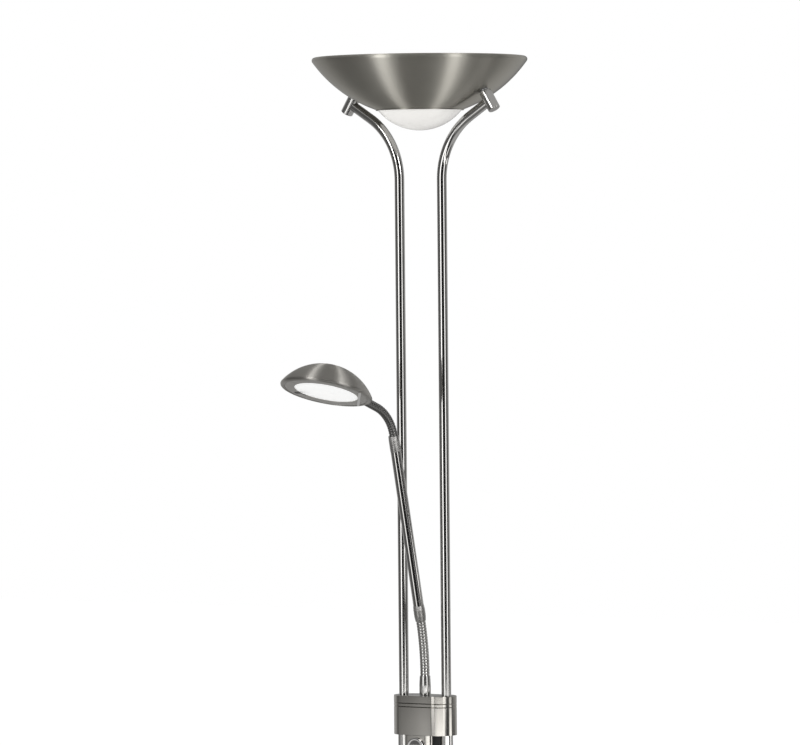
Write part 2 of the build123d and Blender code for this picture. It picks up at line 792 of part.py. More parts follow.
# The opal glass hangs through the opening and rests on the bowl's wall with its flange.
flange_bottom = bowl_height(glass_flange_radius, bowl_inner_curve) + seat_gap
flange_top = flange_bottom + glass_flange_thickness
glass_neck_radius = bowl_opening_radius - glass_clearance
glass_centre_height = hem_height - glass_drop + glass_curve_radius
glass_inner = glass_curve_radius - glass_wall
with BuildPart() as opal_glass:
    with BuildSketch(Plane.XZ):
        with BuildLine():
            neck_height = glass_centre_height - sqrt(glass_curve_radius**2 - glass_neck_radius**2)
            inner_neck = glass_neck_radius - glass_wall
            inner_height = glass_centre_height - sqrt(glass_inner**2 - inner_neck**2)
            half_out = glass_neck_radius / 2
            half_in = inner_neck / 2
            ThreePointArc(
                (0, glass_centre_height - glass_curve_radius),
                (half_out, glass_centre_height - sqrt(glass_curve_radius**2 - half_out**2)),
                (glass_neck_radius, neck_height),
            )
            Polyline(
                (glass_neck_radius, neck_height),
                (glass_neck_radius, flange_bottom),
                (glass_flange_radius, flange_bottom),
                (glass_flange_radius, flange_top),
                (inner_neck, flange_top),
                (inner_neck, inner_height),
            )
            ThreePointArc(
                (inner_neck, inner_height),
                (half_in, glass_centre_height - sqrt(glass_inner**2 - half_in**2)),
                (0, glass_centre_height - glass_inner),
            )
            Line((0, glass_centre_height - glass_inner), (0, glass_centre_height - glass_curve_radius))
        make_face()
    revolve(axis=Axis.Z)
save(opal_glass, "opal_glass")

with BuildPart() as glass_clips:
    clip_in = glass_flange_radius - clip_overlap
    clip_bend = glass_flange_radius + clip_step
    clip_out = glass_flange_radius + clip_reach
    clip_toe = clip_out + clip_foot
    clip_low = flange_top + face_gap
    clip_out_low = bowl_height(clip_out, bowl_inner_curve) + face_gap
    clip_toe_low = bowl_height(clip_toe, bowl_inner_curve) + face_gap
    for turn in clip_turns:
        clip_plane = Plane.XZ.rotated((0, 0, turn))
        with BuildSketch(clip_plane):
            with BuildLine():
                Polyline(
                    (clip_in, clip_low),
                    (clip_bend, clip_low),
                    (clip_out, clip_out_low),
                    (clip_toe, clip_toe_low),
                    (clip_toe, clip_toe_low + clip_thickness),
                    (clip_out, clip_out_low + clip_thickness),
                    (clip_bend, clip_low + clip_thickness),
                    (clip_in, clip_low + clip_thickness),
                    close=True,
                )
            make_face()
        extrude(amount=clip_width / 2, both=True)
save(glass_clips, "glass_clips")

# ---- What holds the bowl ---------------------------------------------------------------------------
along = Vector(sin(stud_tilt), 0, -cos(stud_tilt))
bowl_foot = Vector(stud_ring_radius, 0, bowl_height(stud_ring_radius, bowl_curve_radius))
knob_centre = bowl_foot + along * (knob_spacer_length + bowl_knob_length / 2)


def stud_plane(side, distance, up=True):
    """A plane square to a stud's axis, at a distance above the knob's centre, facing into the bowl."""
    place = knob_centre - along * distance
    direction = -along if up else along
    return Plane(
        origin=(side * place.X, 0, place.Z),
        x_dir=(0, 1, 0),
        z_dir=(side * direction.X, 0, direction.Z),
    )


stud_hole = stud_radius + running_gap
knob_top = bowl_knob_length / 2
bowl_face = knob_top + knob_spacer_length
washer_face = bowl_face + bowl_wall + seat_washer_thickness
tab_face = washer_face + bracket_thickness
stud_nut_face = tab_face + face_gap
stud_end = stud_nut_face + stud_nut_thickness + stud_show

bend = radians(pole_bend_angle)
pole_end_straight = (knob_centre.X - pole_spacing / 2 - pole_bend_radius * (1 - cos(bend))) / sin(bend)
pole_bend_height = knob_centre.Z - pole_end_straight * cos(bend) - pole_bend_radius * sin(bend)
pole_stop = pole_end_straight - bowl_knob_radius + pole_bite

for side, name in sides:
    with BuildPart() as upper_pole:
        foot_x = side * pole_spacing / 2
        with BuildLine() as pole_line:
            riser = Line((foot_x, 0, upper_pole_bottom), (foot_x, 0, pole_bend_height))
            half = bend / 2
            arc_middle = (foot_x + side * pole_bend_radius * (1 - cos(half)), 0,
                          pole_bend_height + pole_bend_radius * sin(half))
            arc_end = (foot_x + side * pole_bend_radius * (1 - cos(bend)), 0,
                       pole_bend_height + pole_bend_radius * sin(bend))
            ThreePointArc(riser @ 1, arc_middle, arc_end)
            pole_tip = (arc_end[0] + side * pole_stop * sin(bend), 0, arc_end[2] + pole_stop * cos(bend))
            Line(arc_end, pole_tip)
        with BuildSketch(level(upper_pole_bottom, foot_x)):
            Circle(upper_pole_radius)
            Circle(upper_pole_radius - upper_pole_wall, mode=Mode.SUBTRACT)
        sweep(path=pole_line.line)
    save(upper_pole, "upper_pole_" + name)

with BuildPart() as bowl_knobs:
    for side, name in sides:
        add_tube(stud_plane(side, -knob_top), bowl_knob_radius, 0, bowl_knob_length)
    chamfer(bowl_knobs.edges().filter_by(GeomType.CIRCLE), length=bowl_knob_edge)
    for side, name in sides:
        pocket = Plane(
            origin=(side * (knob_centre.X - bowl_knob_radius * sin(bend)), 0,
                    knob_centre.Z - bowl_knob_radius * cos(bend)),
            x_dir=(0, 1, 0),
            z_dir=(side * sin(bend), 0, cos(bend)),
        )
        cut_hole(pocket, upper_pole_radius + running_gap, pole_bite + running_gap)
        cut_hole(stud_plane(side, knob_top - stud_depth), stud_hole, stud_depth)
save(bowl_knobs, "bowl_knobs")

with BuildPart() as bowl_studs:
    for side, name in sides:
        stud_start = knob_top - stud_depth + running_gap
        add_tube(stud_plane(side, stud_start), stud_radius, stud_bore, stud_end - stud_start)
save(bowl_studs, "bowl_studs")

# Saddle pieces on the studs: a spacer under the bowl's wall and a washer on it, both cut to its curve.
with BuildPart() as bowl_saddles:
    for side, name in sides:
        blank_length = washer_face - bowl_face + saddle_blank
        add_tube(stud_plane(side, bowl_face - saddle_blank), seat_washer_radius, stud_hole, blank_length)
    with Locations((0, 0, bowl_centre_height)):
        Sphere(bowl_inner_curve - running_gap, mode=Mode.INTERSECT)
    for side, name in sides:
        spacer_length = knob_spacer_length - seat_gap / 2
        add_tube(stud_plane(side, knob_top), knob_spacer_radius, stud_hole, spacer_length)
    saddle_shell = Sphere(bowl_curve_radius + running_gap, mode=Mode.PRIVATE) - Sphere(
        bowl_inner_curve - running_gap, mode=Mode.PRIVATE
    )
    add(Pos(0, 0, bowl_centre_height) * saddle_shell, mode=Mode.SUBTRACT)
save(bowl_saddles, "bowl_saddles")

with BuildPart() as stud_nuts:
    for side, name in sides:
        add_nut(stud_plane(side, stud_nut_face), stud_nut_flats, stud_hole, stud_nut_thickness)
save(stud_nuts, "stud_nuts")

# ---- Lamp inside the bowl --------------------------------------------------------------------------
def stud_point(side, distance, sideways=0.0):
    """X and Z of a point on a stud's axis, or beside it along the tab's slope."""
    across = Vector(-along.Z, 0, along.X)
    place = knob_centre - along * distance + across * sideways
    return side * place.X, place.Z


tab_low_inner = stud_point(1, washer_face, -bracket_tab_reach)
tab_low_outer = stud_point(1, washer_face, bracket_tab_reach)
tab_top_inner = stud_point(1, tab_face, -bracket_tab_reach)
tab_top_outer = stud_point(1, tab_face, bracket_tab_reach)
bracket_top = tab_top_inner[1]
bracket_bottom = bracket_top - bracket_thickness
holder_base = bracket_top + face_gap
holder_inner = tube_length / 2 + contact_travel - holder_bite
holder_middle = holder_inner + holder_length / 2
tube_height = holder_base + holder_height - tube_drop
carrier_place = shield_length / 2 + carrier_play

with BuildPart() as lamp_bracket:
    with BuildSketch(Plane.XZ):
        with BuildLine():
            Polyline(
                (0, bracket_bottom),
                (tab_low_inner[0] - bracket_corner, bracket_bottom),
                tab_low_outer,
                tab_top_outer,
                (tab_top_inner[0], bracket_top),
                (0, bracket_top),
                close=True,
            )
        make_face()
        mirror(about=Plane.YZ)
    extrude(amount=bracket_width / 2, both=True)
    for side, name in sides:
        tab_drill = stud_plane(side, washer_face - tab_drill_run)
        cut_hole(tab_drill, stud_hole, bracket_thickness + 2 * tab_drill_run)
        screw_drill = level(bracket_bottom - drill_run, side * holder_middle)
        cut_hole(screw_drill, small_screw_radius + hole_gap, bracket_thickness + 2 * drill_run)
save(lamp_bracket, "lamp_bracket")

with BuildPart() as lampholders:
    for side, name in sides:
        add_block(level(holder_base, side * holder_middle), holder_length, holder_width, holder_height)
    fillet(lampholders.edges().filter_by(Axis.Z), radius=holder_corner)
    for side, name in sides:
        mouth_place = (side * holder_inner, 0, tube_height)
        socket_mouth = Plane(origin=mouth_place, x_dir=(0, 1, 0), z_dir=(side, 0, 0))
        cut_hole(socket_mouth, tube_cap_radius + holder_play, holder_bite + seat_gap)
        contact_drill = socket_mouth.offset(-drill_run)
        cut_hole(contact_drill, contact_radius + running_gap, holder_length - contact_backing)
        screw_place = level(holder_base, side * holder_middle)
        cut_hole(screw_place, small_screw_radius + running_gap, holder_screw_grip + hole_end)
    for side, name in sides:
        tip_place = (side * (tube_length / 2 + face_gap), 0, tube_height)
        tip = Plane(origin=tip_place, x_dir=(0, 1, 0), z_dir=(side, 0, 0))
        add_tube(tip, contact_radius, 0, holder_length - contact_backing - holder_bite)
save(lampholders, "lampholders")

# Two long screws close the control box from behind; two short ones hold the lampholders.
with BuildPart() as small_screws:
    for x in case_screw_places:
        head_place = facing_front(box_back + small_head_height, x, case_screw_height)
        case_screw_length = box_back + small_head_height - plate_front + case_screw_grip
        add_tube(head_place, small_head_radius, 0, small_head_height)
        add_tube(head_place, small_screw_radius, 0, case_screw_length)
        slot_length = slot_share * small_head_radius
        add_block(head_place, slot_length, slot_width, slot_depth, mode=Mode.SUBTRACT)
    head_face = bracket_bottom - face_gap
    for side, name in sides:
        holder_screw_length = bracket_thickness + holder_screw_grip
        head_place = level(head_face - small_head_height, side * holder_middle)
        add_tube(head_place, small_head_radius, 0, small_head_height)
        add_tube(level(head_face, side * holder_middle), small_screw_radius, 0, holder_screw_length)
save(small_screws, "small_screws")

with BuildPart() as halogen_tube:
    tube_start = Plane(origin=(-tube_body_length / 2, 0, tube_height), x_dir=(0, 1, 0), z_dir=(1, 0, 0))
    add_tube(tube_start, tube_radius, 0, tube_body_length)
    fillet(halogen_tube.edges().filter_by(GeomType.CIRCLE), radius=tube_end_fillet)
    pinch_length = tube_length - 2 * (tube_cap_length - tube_pinch_overlap)
    with Locations((0, 0, tube_height)):
        Box(pinch_length, tube_pinch_width, tube_pinch_thickness)
    for side, name in sides:
        cap_place = (side * tube_length / 2, 0, tube_height)
        cap_face = Plane(origin=cap_place, x_dir=(0, 1, 0), z_dir=(-side, 0, 0))
        add_tube(cap_face, tube_cap_radius, 0, tube_cap_length)
save(halogen_tube, "halogen_tube")

shield_bottom = bracket_top + shield_rise
shield_top = shield_bottom + shield_thickness
with BuildPart() as safety_glass:
    add_block(level(shield_bottom), shield_length, shield_width, shield_thickness)
    fillet(safety_glass.edges().filter_by(Axis.Z), radius=shield_corner)
    chamfer(safety_glass.faces().sort_by(Axis.Z)[-1].edges(), length=shield_edge)
save(safety_glass, "safety_glass")

with BuildPart() as shield_carriers:
    for side, name in sides:
        upright = side * (carrier_place + carrier_thickness / 2)
        carrier_base = bracket_top + face_gap
        carrier_height = shield_top + face_gap + carrier_thickness - carrier_base
        add_block(level(carrier_base, upright), carrier_thickness, carrier_width, carrier_height)
        foot_middle = side * (carrier_place + carrier_thickness - carrier_foot / 2)
        lip_middle = side * (carrier_place + carrier_thickness - carrier_lip / 2)
        add_block(level(carrier_base, foot_middle), carrier_foot, bracket_width, carrier_thickness)
        for shelf in (shield_bottom - face_gap - carrier_thickness, shield_top + face_gap):
            add_block(level(shelf, lip_middle), carrier_lip, carrier_width, carrier_thickness)
save(shield_carriers, "shield_carriers")

# ---- Reading arm -----------------------------------------------------------------------------------
lower_neck_start = (0, collar_top + socket_height - 2 * lower_neck_radius)
lower_bend_radius = lower_neck_rise / sin(radians(arm_lean))
lower_legs = (
    (None, 2 * lower_neck_radius),
    (lower_bend_radius, arm_lean),
    (None, 2 * lower_neck_radius),
)
lower_path = (lower_neck_start, 0.0, lower_legs)
lower_lengths = leg_lengths(lower_legs)
lower_total = sum(lower_lengths)
lower_middle = lower_total / 2
arm_mouth = path_plane(lower_path, lower_lengths[0] + lower_lengths[1])
neck_plain = lower_neck_radius

upper_legs = (
    (None, 2 * upper_neck_radius),
    (upper_bend_radius, upper_bend_angle),
    (upper_sweep_radius, upper_sweep_angle),
    (None, upper_neck_straight + 2 * upper_neck_radius),
)
upper_start_plane = arm_mouth.offset(arm_length - 2 * upper_neck_radius)
upper_path = ((upper_start_plane.origin.Y, upper_start_plane.origin.Z), arm_lean, upper_legs)
upper_lengths = leg_lengths(upper_legs)
upper_total = sum(upper_lengths)
upper_middle = upper_total / 2
head_mouth = path_plane(upper_path, upper_total - 2 * upper_neck_radius)

with BuildPart() as arm_socket:
    socket_top = collar_top + socket_height
    add_turned(
        (
            (0, collar_top),
            (socket_foot_radius, collar_top),
            (socket_foot_radius, collar_top + socket_foot_height),
            (socket_top_radius, socket_top - socket_edge_height),
            (socket_top_radius - socket_edge, socket_top),
            (0, socket_top),
        )
    )
    stub_bottom = collar_cap_bottom - nut_thickness - stub_show
    add_tube(level(stub_bottom), nipple_radius, 0, collar_top - stub_bottom)
    cut_hole(level(lower_neck_start[1] - running_gap), lower_neck_radius + running_gap, socket_height)
    cut_hole(level(stub_bottom), nipple_bore, socket_height + collar_top - stub_bottom)
save(arm_socket, "arm_socket")

half_gap = neck_split_gap / 2
with BuildPart() as lower_gooseneck_bottom:
    add_ribbed_hose(lower_path, 0, lower_middle - half_gap, neck_plain, 0,
                    lower_neck_root, lower_neck_radius, lower_neck_bore)
save(lower_gooseneck_bottom, "lower_gooseneck_bottom")

with BuildPart() as lower_gooseneck_top:
    add_ribbed_hose(lower_path, lower_middle + half_gap, lower_total, 0, neck_plain,
                    lower_neck_root, lower_neck_radius, lower_neck_bore)
save(lower_gooseneck_top, "lower_gooseneck_top")


def add_ferrule(mouth, bulge, neck_radius, neck_bore):
    """A turned ferrule: a mouth that holds the gooseneck and a spigot inside the arm's tube."""
    section_normal = Vector(1, 0, 0).cross(mouth.z_dir)
    axis_plane = Plane(origin=mouth.origin, x_dir=(1, 0, 0), z_dir=section_normal)
    depth = 2 * neck_radius + running_gap
    spigot = arm_radius - arm_wall - running_gap
    add_turned(
        (
            (neck_radius + running_gap, 0),
            (arm_radius - ferrule_edge, 0),
            (arm_radius, ferrule_edge_height),
            (bulge, ferrule_bulge_start),
            (bulge, ferrule_bulge_end),
            (arm_radius, ferrule_length - ferrule_edge_height),
            (arm_radius, ferrule_length),
            (spigot, ferrule_length),
            (spigot, ferrule_length + ferrule_spigot),
            (neck_bore, ferrule_length + ferrule_spigot),
            (neck_bore, depth),
            (neck_radius + running_gap, depth),
        ),
        plane=axis_plane,
        axis=Axis(mouth.origin, mouth.z_dir),
    )


with BuildPart() as arm_lower_ferrule:
    add_ferrule(arm_mouth, lower_ferrule_bulge, lower_neck_radius, lower_neck_bore)
save(arm_lower_ferrule, "arm_lower_ferrule")

arm_end = arm_mouth.offset(arm_length)
with BuildPart() as arm_upper_ferrule:
    top_mouth = Plane(origin=arm_end.origin, x_dir=(1, 0, 0), z_dir=-arm_end.z_dir)
    add_ferrule(top_mouth, upper_ferrule_bulge, upper_neck_radius, upper_neck_bore)
save(arm_upper_ferrule, "arm_upper_ferrule")

with BuildPart() as arm_tube:
    tube_foot = arm_mouth.offset(ferrule_length)
    add_tube(tube_foot, arm_radius, arm_radius - arm_wall, arm_length - 2 * ferrule_length)
save(arm_tube, "arm_tube")

with BuildPart() as upper_gooseneck_bottom:
    add_ribbed_hose(upper_path, 0, upper_middle - half_gap, neck_plain, 0,
                    upper_neck_root, upper_neck_radius, upper_neck_bore)
save(upper_gooseneck_bottom, "upper_gooseneck_bottom")

with BuildPart() as upper_gooseneck_top:
    add_ribbed_hose(upper_path, upper_middle + half_gap, upper_total, 0, neck_plain,
                    upper_neck_root, upper_neck_radius, upper_neck_bore)
save(upper_gooseneck_top, "upper_gooseneck_top")

# ---- Reading head ----------------------------------------------------------------------------------
# The head's own directions: back (towards the neck), and up (out of the dome).
head_back = -head_mouth.z_dir
head_up = Vector(0, -head_back.Z, head_back.Y)
head_origin = head_mouth.origin - head_back * head_neck_reach - head_up * head_neck_height
head_axis = Axis(head_origin, head_up)
head_section = Plane(origin=head_origin, x_dir=(1, 0, 0), z_dir=-head_back)


def head_point(x, back, up):
    """A point of the head, from its own X, back and up distances."""
    return head_origin + Vector(x, 0, 0) + head_back * back + head_up * up


def head_level(up, x=0.0, back=0.0):
    """A plane parallel to the head's underside, facing up."""
    return Plane(origin=head_point(x, back, up), x_dir=(1, 0, 0), z_dir=head_up)


def head_across(back, up, x=0.0):
    """A plane square to the head's back direction, facing back."""
    return Plane(origin=head_point(x, back, up), x_dir=(1, 0, 0), z_dir=head_back)


dome_foot_radius = shade_radius - shade_edge_roll
dome_foot_height = shade_edge_roll
dome_angle = asin(dome_foot_radius / (shade_curve_radius - shade_edge_roll))
dome_centre = dome_foot_height - (shade_curve_radius - shade_edge_roll) * cos(dome_angle)
shade_apex = dome_centre + shade_curve_radius
dome_inner = shade_curve_radius - shade_wall


def dome_point(curve, angle):
    """A point of the dome's section at an angle from its axis, in radians."""
    return curve * sin(angle), dome_centre + curve * cos(angle)


def edge_point(radius, angle):
    """A point of the shade's rolled edge, at an angle from straight up, in radians."""
    return dome_foot_radius + radius * sin(angle), dome_foot_height + radius * cos(angle)


with BuildPart() as reading_shade:
    inner_edge = shade_edge_roll - shade_wall
    under = radians(180)
    edge_middle = (dome_angle + under) / 2
    with BuildSketch(head_section):
        with BuildLine():
            ThreePointArc(*[dome_point(shade_curve_radius, a) for a in (0, dome_angle / 2, dome_angle)])
            ThreePointArc(*[edge_point(shade_edge_roll, a) for a in (dome_angle, edge_middle, under)])
            Polyline(
                edge_point(shade_edge_roll, under),
                (dome_foot_radius - shade_lip_width, 0),
                (dome_foot_radius - shade_lip_width, shade_wall),
                edge_point(inner_edge, under),
            )
            ThreePointArc(*[edge_point(inner_edge, a) for a in (under, edge_middle, dome_angle)])
            ThreePointArc(*[dome_point(dome_inner, a) for a in (dome_angle, dome_angle / 2, 0)])
            Line((0, dome_centre + dome_inner), (0, shade_apex))
        make_face()
    revolve(axis=head_axis)
    cut_hole(head_across(head_nut_face, head_neck_height), head_stub_radius + hole_gap, shade_hole_run)
save(reading_shade, "reading_shade")

ring_radius = dome_foot_radius - shade_lip_width - hole_gap
ring_top = face_gap + ring_thickness
tab_top = ring_top + tab_thickness
with BuildPart() as reading_ring:
    add_tube(head_level(face_gap), ring_radius, ring_opening_radius, ring_thickness)
    with BuildSketch(head_level(ring_top)):
        with PolarLocations(ring_radius, tab_count, start_angle=tab_start):
            Rectangle(tab_length, tab_width)
    extrude(amount=tab_thickness)
save(reading_ring, "reading_ring")

disc_bottom = face_gap + ring_thickness + face_gap
with BuildPart() as frosted_disc:
    add_tube(head_level(disc_bottom), disc_radius, 0, disc_thickness)
    fillet(frosted_disc.edges(), radius=disc_edge)
save(frosted_disc, "frosted_disc")

clip_face = -running_gap
with BuildPart() as disc_spring:
    with BuildSketch(head_section):
        with BuildLine():
            Polyline(
                (-ring_opening_radius - spring_foot, clip_face),
                (-ring_opening_radius, clip_face),
                (-ring_opening_radius + spring_reach, clip_face - spring_drop),
                (-ring_opening_radius + spring_reach, clip_face - spring_drop - spring_thickness),
                (-ring_opening_radius, clip_face - spring_thickness),
                (-ring_opening_radius - spring_foot, clip_face - spring_thickness),
                close=True,
            )
        make_face()
    extrude(amount=spring_width / 2, both=True)
save(disc_spring, "disc_spring")

with BuildPart() as retaining_strip:
    strip_turn = radians(strip_azimuth)
    with BuildSketch(head_level(clip_face - strip_thickness)):
        with Locations((-strip_offset * sin(strip_turn), strip_offset * cos(strip_turn))):
            Rectangle(strip_length, strip_width, rotation=strip_azimuth)
    extrude(amount=strip_thickness)
save(retaining_strip, "retaining_strip")

socket_seat = head_neck_reach - 2 * upper_neck_radius - running_gap
with BuildPart() as head_socket:
    socket_root = sqrt(dome_inner**2 - (head_neck_height + head_socket_radius - dome_centre) ** 2)
    add_tube(head_across(socket_root, head_neck_height), head_socket_radius, 0, head_neck_reach - socket_root)
    round_edges = head_socket.edges().filter_by(GeomType.CIRCLE)
    chamfer(round_edges.sort_by(Axis(head_origin, head_back))[-1], length=head_socket_edge)
    with Locations(head_level(dome_centre)):
        Sphere(shade_curve_radius + running_gap, mode=Mode.SUBTRACT)
    stub_start = head_nut_face - head_nut_thickness - bracket_sheet - stub_show
    add_tube(head_across(stub_start, head_neck_height), head_stub_radius, 0, socket_seat - stub_start)
    neck_pocket = head_neck_reach - socket_seat + drill_run
    cut_hole(head_across(socket_seat, head_neck_height), upper_neck_radius + running_gap, neck_pocket)
    cut_hole(head_across(stub_start, head_neck_height), head_wire_radius, head_neck_reach - stub_start)
save(head_socket, "head_socket")

with BuildPart() as head_seat:
    add_tube(head_across(head_nut_face, head_neck_height), head_socket_radius, head_stub_radius + running_gap,
             head_neck_reach - head_nut_face)
    with Locations(head_level(dome_centre)):
        Sphere(dome_inner - running_gap, mode=Mode.INTERSECT)
save(head_seat, "head_seat")

nut_front = head_nut_face - bracket_sheet - head_nut_thickness
with BuildPart() as head_nut:
    add_nut(head_across(nut_front, head_neck_height), head_nut_flats, head_stub_radius + running_gap,
            head_nut_thickness)
save(head_nut, "head_nut")

# A bent strip under the nut carries the lampholder.
holder_low = bulb_axis_height - head_holder_height / 2
strip_top = holder_low - face_gap
with BuildPart() as head_bracket:
    leg_height = head_neck_height + head_nut_flats / 2 + bracket_margin - strip_top
    leg_middle = strip_top + leg_height / 2
    leg_face = head_across(head_nut_face - bracket_sheet, leg_middle)
    add_block(leg_face, bracket_strip_width, leg_height, bracket_sheet)
    strip_run = head_nut_face - head_holder_front
    strip_middle = head_nut_face - strip_run / 2
    strip_face = head_level(strip_top - bracket_sheet, back=strip_middle)
    add_block(strip_face, bracket_strip_width, strip_run, bracket_sheet)
    cut_hole(head_across(head_nut_face - bracket_sheet, head_neck_height), head_stub_radius + running_gap,
             bracket_sheet)
save(head_bracket, "head_bracket")

reflector_curve = dome_inner - reflector_gap
reflector_foot_height = tab_top + face_gap
with BuildPart() as reading_reflector:
    with BuildSketch(head_section):
        with BuildLine():
            curves = (reflector_curve, reflector_curve - reflector_wall)
            feet = [acos((reflector_foot_height - dome_centre) / curve) for curve in curves]
            tops = [asin(reflector_top_radius / curve) for curve in curves]
            ThreePointArc(*[dome_point(curves[0], a) for a in (tops[0], (tops[0] + feet[0]) / 2, feet[0])])
            Line(dome_point(curves[0], feet[0]), dome_point(curves[1], feet[1]))
            ThreePointArc(*[dome_point(curves[1], a) for a in (feet[1], (tops[1] + feet[1]) / 2, tops[1])])
            Line(dome_point(curves[1], tops[1]), dome_point(curves[0], tops[0]))
        make_face()
    revolve(axis=head_axis)
    window = head_across(reflector_window_front, head_neck_height)
    window_width = head_holder_width + 2 * reflector_window_side
    add_block(window, window_width, shade_radius, shade_radius, mode=Mode.SUBTRACT)
save(reading_reflector, "reading_reflector")

with BuildPart() as reading_lampholder:
    holder_plane = head_across(head_holder_front, bulb_axis_height)
    add_block(holder_plane, head_holder_width, head_holder_height, head_holder_length)
    fillet(reading_lampholder.edges().filter_by(GeomType.LINE), radius=head_holder_corner)
    cut_hole(holder_plane, bulb_pin_radius + running_gap, bulb_pin_hole)
save(reading_lampholder, "reading_lampholder")

with BuildPart() as capsule_bulb:
    bulb_face = head_holder_front - face_gap
    bulb_plane = head_across(bulb_face - bulb_length, bulb_axis_height)
    add_tube(bulb_plane, bulb_radius, 0, bulb_length)
    round_edges = capsule_bulb.edges().filter_by(GeomType.CIRCLE)
    fillet(round_edges.sort_by(Axis(head_origin, head_back))[0], radius=bulb_end_fillet)
    add_tube(head_across(bulb_face, bulb_axis_height), bulb_pin_radius, 0, bulb_pin_length)
save(capsule_bulb, "capsule_bulb")

# Figures that the joints and the frame are read from
print("pole bend starts at", round(pole_bend_height, 2), "straight end", round(pole_end_straight, 2))
print("bowl centre of curvature", round(bowl_centre_height, 2), "hem", round(hem_height, 2))
print("arm mouth", arm_mouth.origin, "arm end", arm_end.origin, "head mouth", head_mouth.origin)
print("head origin", head_origin, "shade apex", round(shade_apex, 2))
for path, total, label in ((lower_path, lower_total, "lower"), (upper_path, upper_total, "upper")):
    for share in hinge_shares:
        print(label, "neck hinge", share, [round(v, 3) for v in walk(*path, total * share)])
print("dimmer axes", dimmer_heights, "shield top", round(shield_top, 2))
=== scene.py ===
"""Torchiere floor lamp with a reading light: its looks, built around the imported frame.

Metres, +Z up. The origin is the centre of the base's underside, the reading arm leans towards -Y, which
is the front, and the two poles stand at +X and -X.
"""

import json
import logging
from dataclasses import dataclass, field
from enum import Enum
from math import asin, cos, pi, radians, sin, sqrt
from typing import Iterable, Optional, Sequence, Union

import bmesh
import bpy
from bpy.types import Material, Node, NodeSocket, NodeTree, Object
from mathutils import Matrix, Vector

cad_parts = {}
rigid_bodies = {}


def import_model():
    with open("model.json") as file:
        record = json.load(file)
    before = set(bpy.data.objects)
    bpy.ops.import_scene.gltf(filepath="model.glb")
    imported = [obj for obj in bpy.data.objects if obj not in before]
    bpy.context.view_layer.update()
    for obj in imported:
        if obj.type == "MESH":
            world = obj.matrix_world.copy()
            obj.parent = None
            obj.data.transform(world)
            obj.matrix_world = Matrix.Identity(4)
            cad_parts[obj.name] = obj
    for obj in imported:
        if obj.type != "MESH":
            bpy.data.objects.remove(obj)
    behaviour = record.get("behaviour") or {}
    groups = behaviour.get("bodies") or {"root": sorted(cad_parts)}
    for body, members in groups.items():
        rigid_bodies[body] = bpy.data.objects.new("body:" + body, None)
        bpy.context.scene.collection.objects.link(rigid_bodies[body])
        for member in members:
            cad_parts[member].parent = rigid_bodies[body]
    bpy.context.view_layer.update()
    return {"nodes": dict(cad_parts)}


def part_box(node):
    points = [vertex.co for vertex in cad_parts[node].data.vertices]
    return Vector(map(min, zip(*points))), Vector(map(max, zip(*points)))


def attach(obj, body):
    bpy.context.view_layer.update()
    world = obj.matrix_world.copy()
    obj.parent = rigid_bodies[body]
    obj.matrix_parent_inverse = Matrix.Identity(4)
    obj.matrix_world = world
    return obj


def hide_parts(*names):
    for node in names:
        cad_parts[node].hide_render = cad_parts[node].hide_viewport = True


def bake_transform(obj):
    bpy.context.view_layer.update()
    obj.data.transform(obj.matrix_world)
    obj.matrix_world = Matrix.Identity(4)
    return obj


logging.basicConfig(level=logging.INFO, format="%(name)s: %(message)s")
LOG = logging.getLogger("torchiere")

Pair = tuple[float, float]
Corner = tuple[float, float, float]
Colour = tuple[float, float, float]
Leg = tuple[Optional[float], float]
Inputs = dict[Union[str, int], object]

for leftover in list(bpy.data.objects):
    bpy.data.objects.remove(leftover)
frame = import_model()

ON_AXIS = 1e-7
SEAM_LENGTH = 1e-3
LONGEST_ROUNDING = 0.49
SOCKET_DEPTH = 0.6
RIB_ROUNDNESS = 0.7
ACROSS_THE_GROOVES = 0.25
DRAWN_STRETCH = (160.0, 14.0, 1.0)
BRUSHED_STRETCH = 0.02
HEAD_TILT = radians(18.8)
HEAD_PLACE = (0.0, -0.213857, 1.36876)
NICKEL = ((0.43, 0.418, 0.395), (0.33, 0.318, 0.293))
TUBE_NICKEL = ((0.47, 0.465, 0.455), (0.38, 0.375, 0.36))


# ---- Outlines and meshes ---------------------------------------------------------------------------
def soften(corners: Sequence[Corner], steps: int = 5, closed: bool = True) -> list[Pair]:
    """Round the corners of an outline.

    Args:
        corners: Each corner as (across, up, radius).
        steps: How many points a rounded corner gets, less one.
        closed: Whether the outline returns to its first corner. An open one keeps its two ends sharp.

    Returns:
        The outline's points.
    """
    points: list[Pair] = []
    count = len(corners)
    for index, (across, up, radius) in enumerate(corners):
        here = Vector((across, up))
        if radius <= 0 or (not closed and index in (0, count - 1)):
            points.append((across, up))
            continue
        before = Vector(corners[index - 1][:2]) - here
        after = Vector(corners[(index + 1) % count][:2]) - here
        half = before.angle(after) / 2
        longest = LONGEST_ROUNDING * min(before.length, after.length)
        reach = min(radius / max(sin(half) / cos(half), 1e-6), longest)
        start = here + before.normalized() * reach
        end = here + after.normalized() * reach
        for step in range(steps + 1):
            share = step / steps
            bend = start.lerp(here, share).lerp(here.lerp(end, share), share)
            points.append((bend.x, bend.y))
    return points


def arc(centre: Pair, radius: float, begin: float, end: float, steps: int) -> list[Pair]:
    """Points of an arc, with angles in radians measured from straight up, clockwise.

    Args:
        centre: The arc's centre as (across, up).
        radius: Its radius.
        begin: The first angle.
        end: The last angle.
        steps: How many parts it is divided into.

    Returns:
        The arc's points, both ends included.
    """
    angles = [begin + (end - begin) * step / steps for step in range(steps + 1)]
    return [(centre[0] + radius * sin(angle), centre[1] + radius * cos(angle)) for angle in angles]


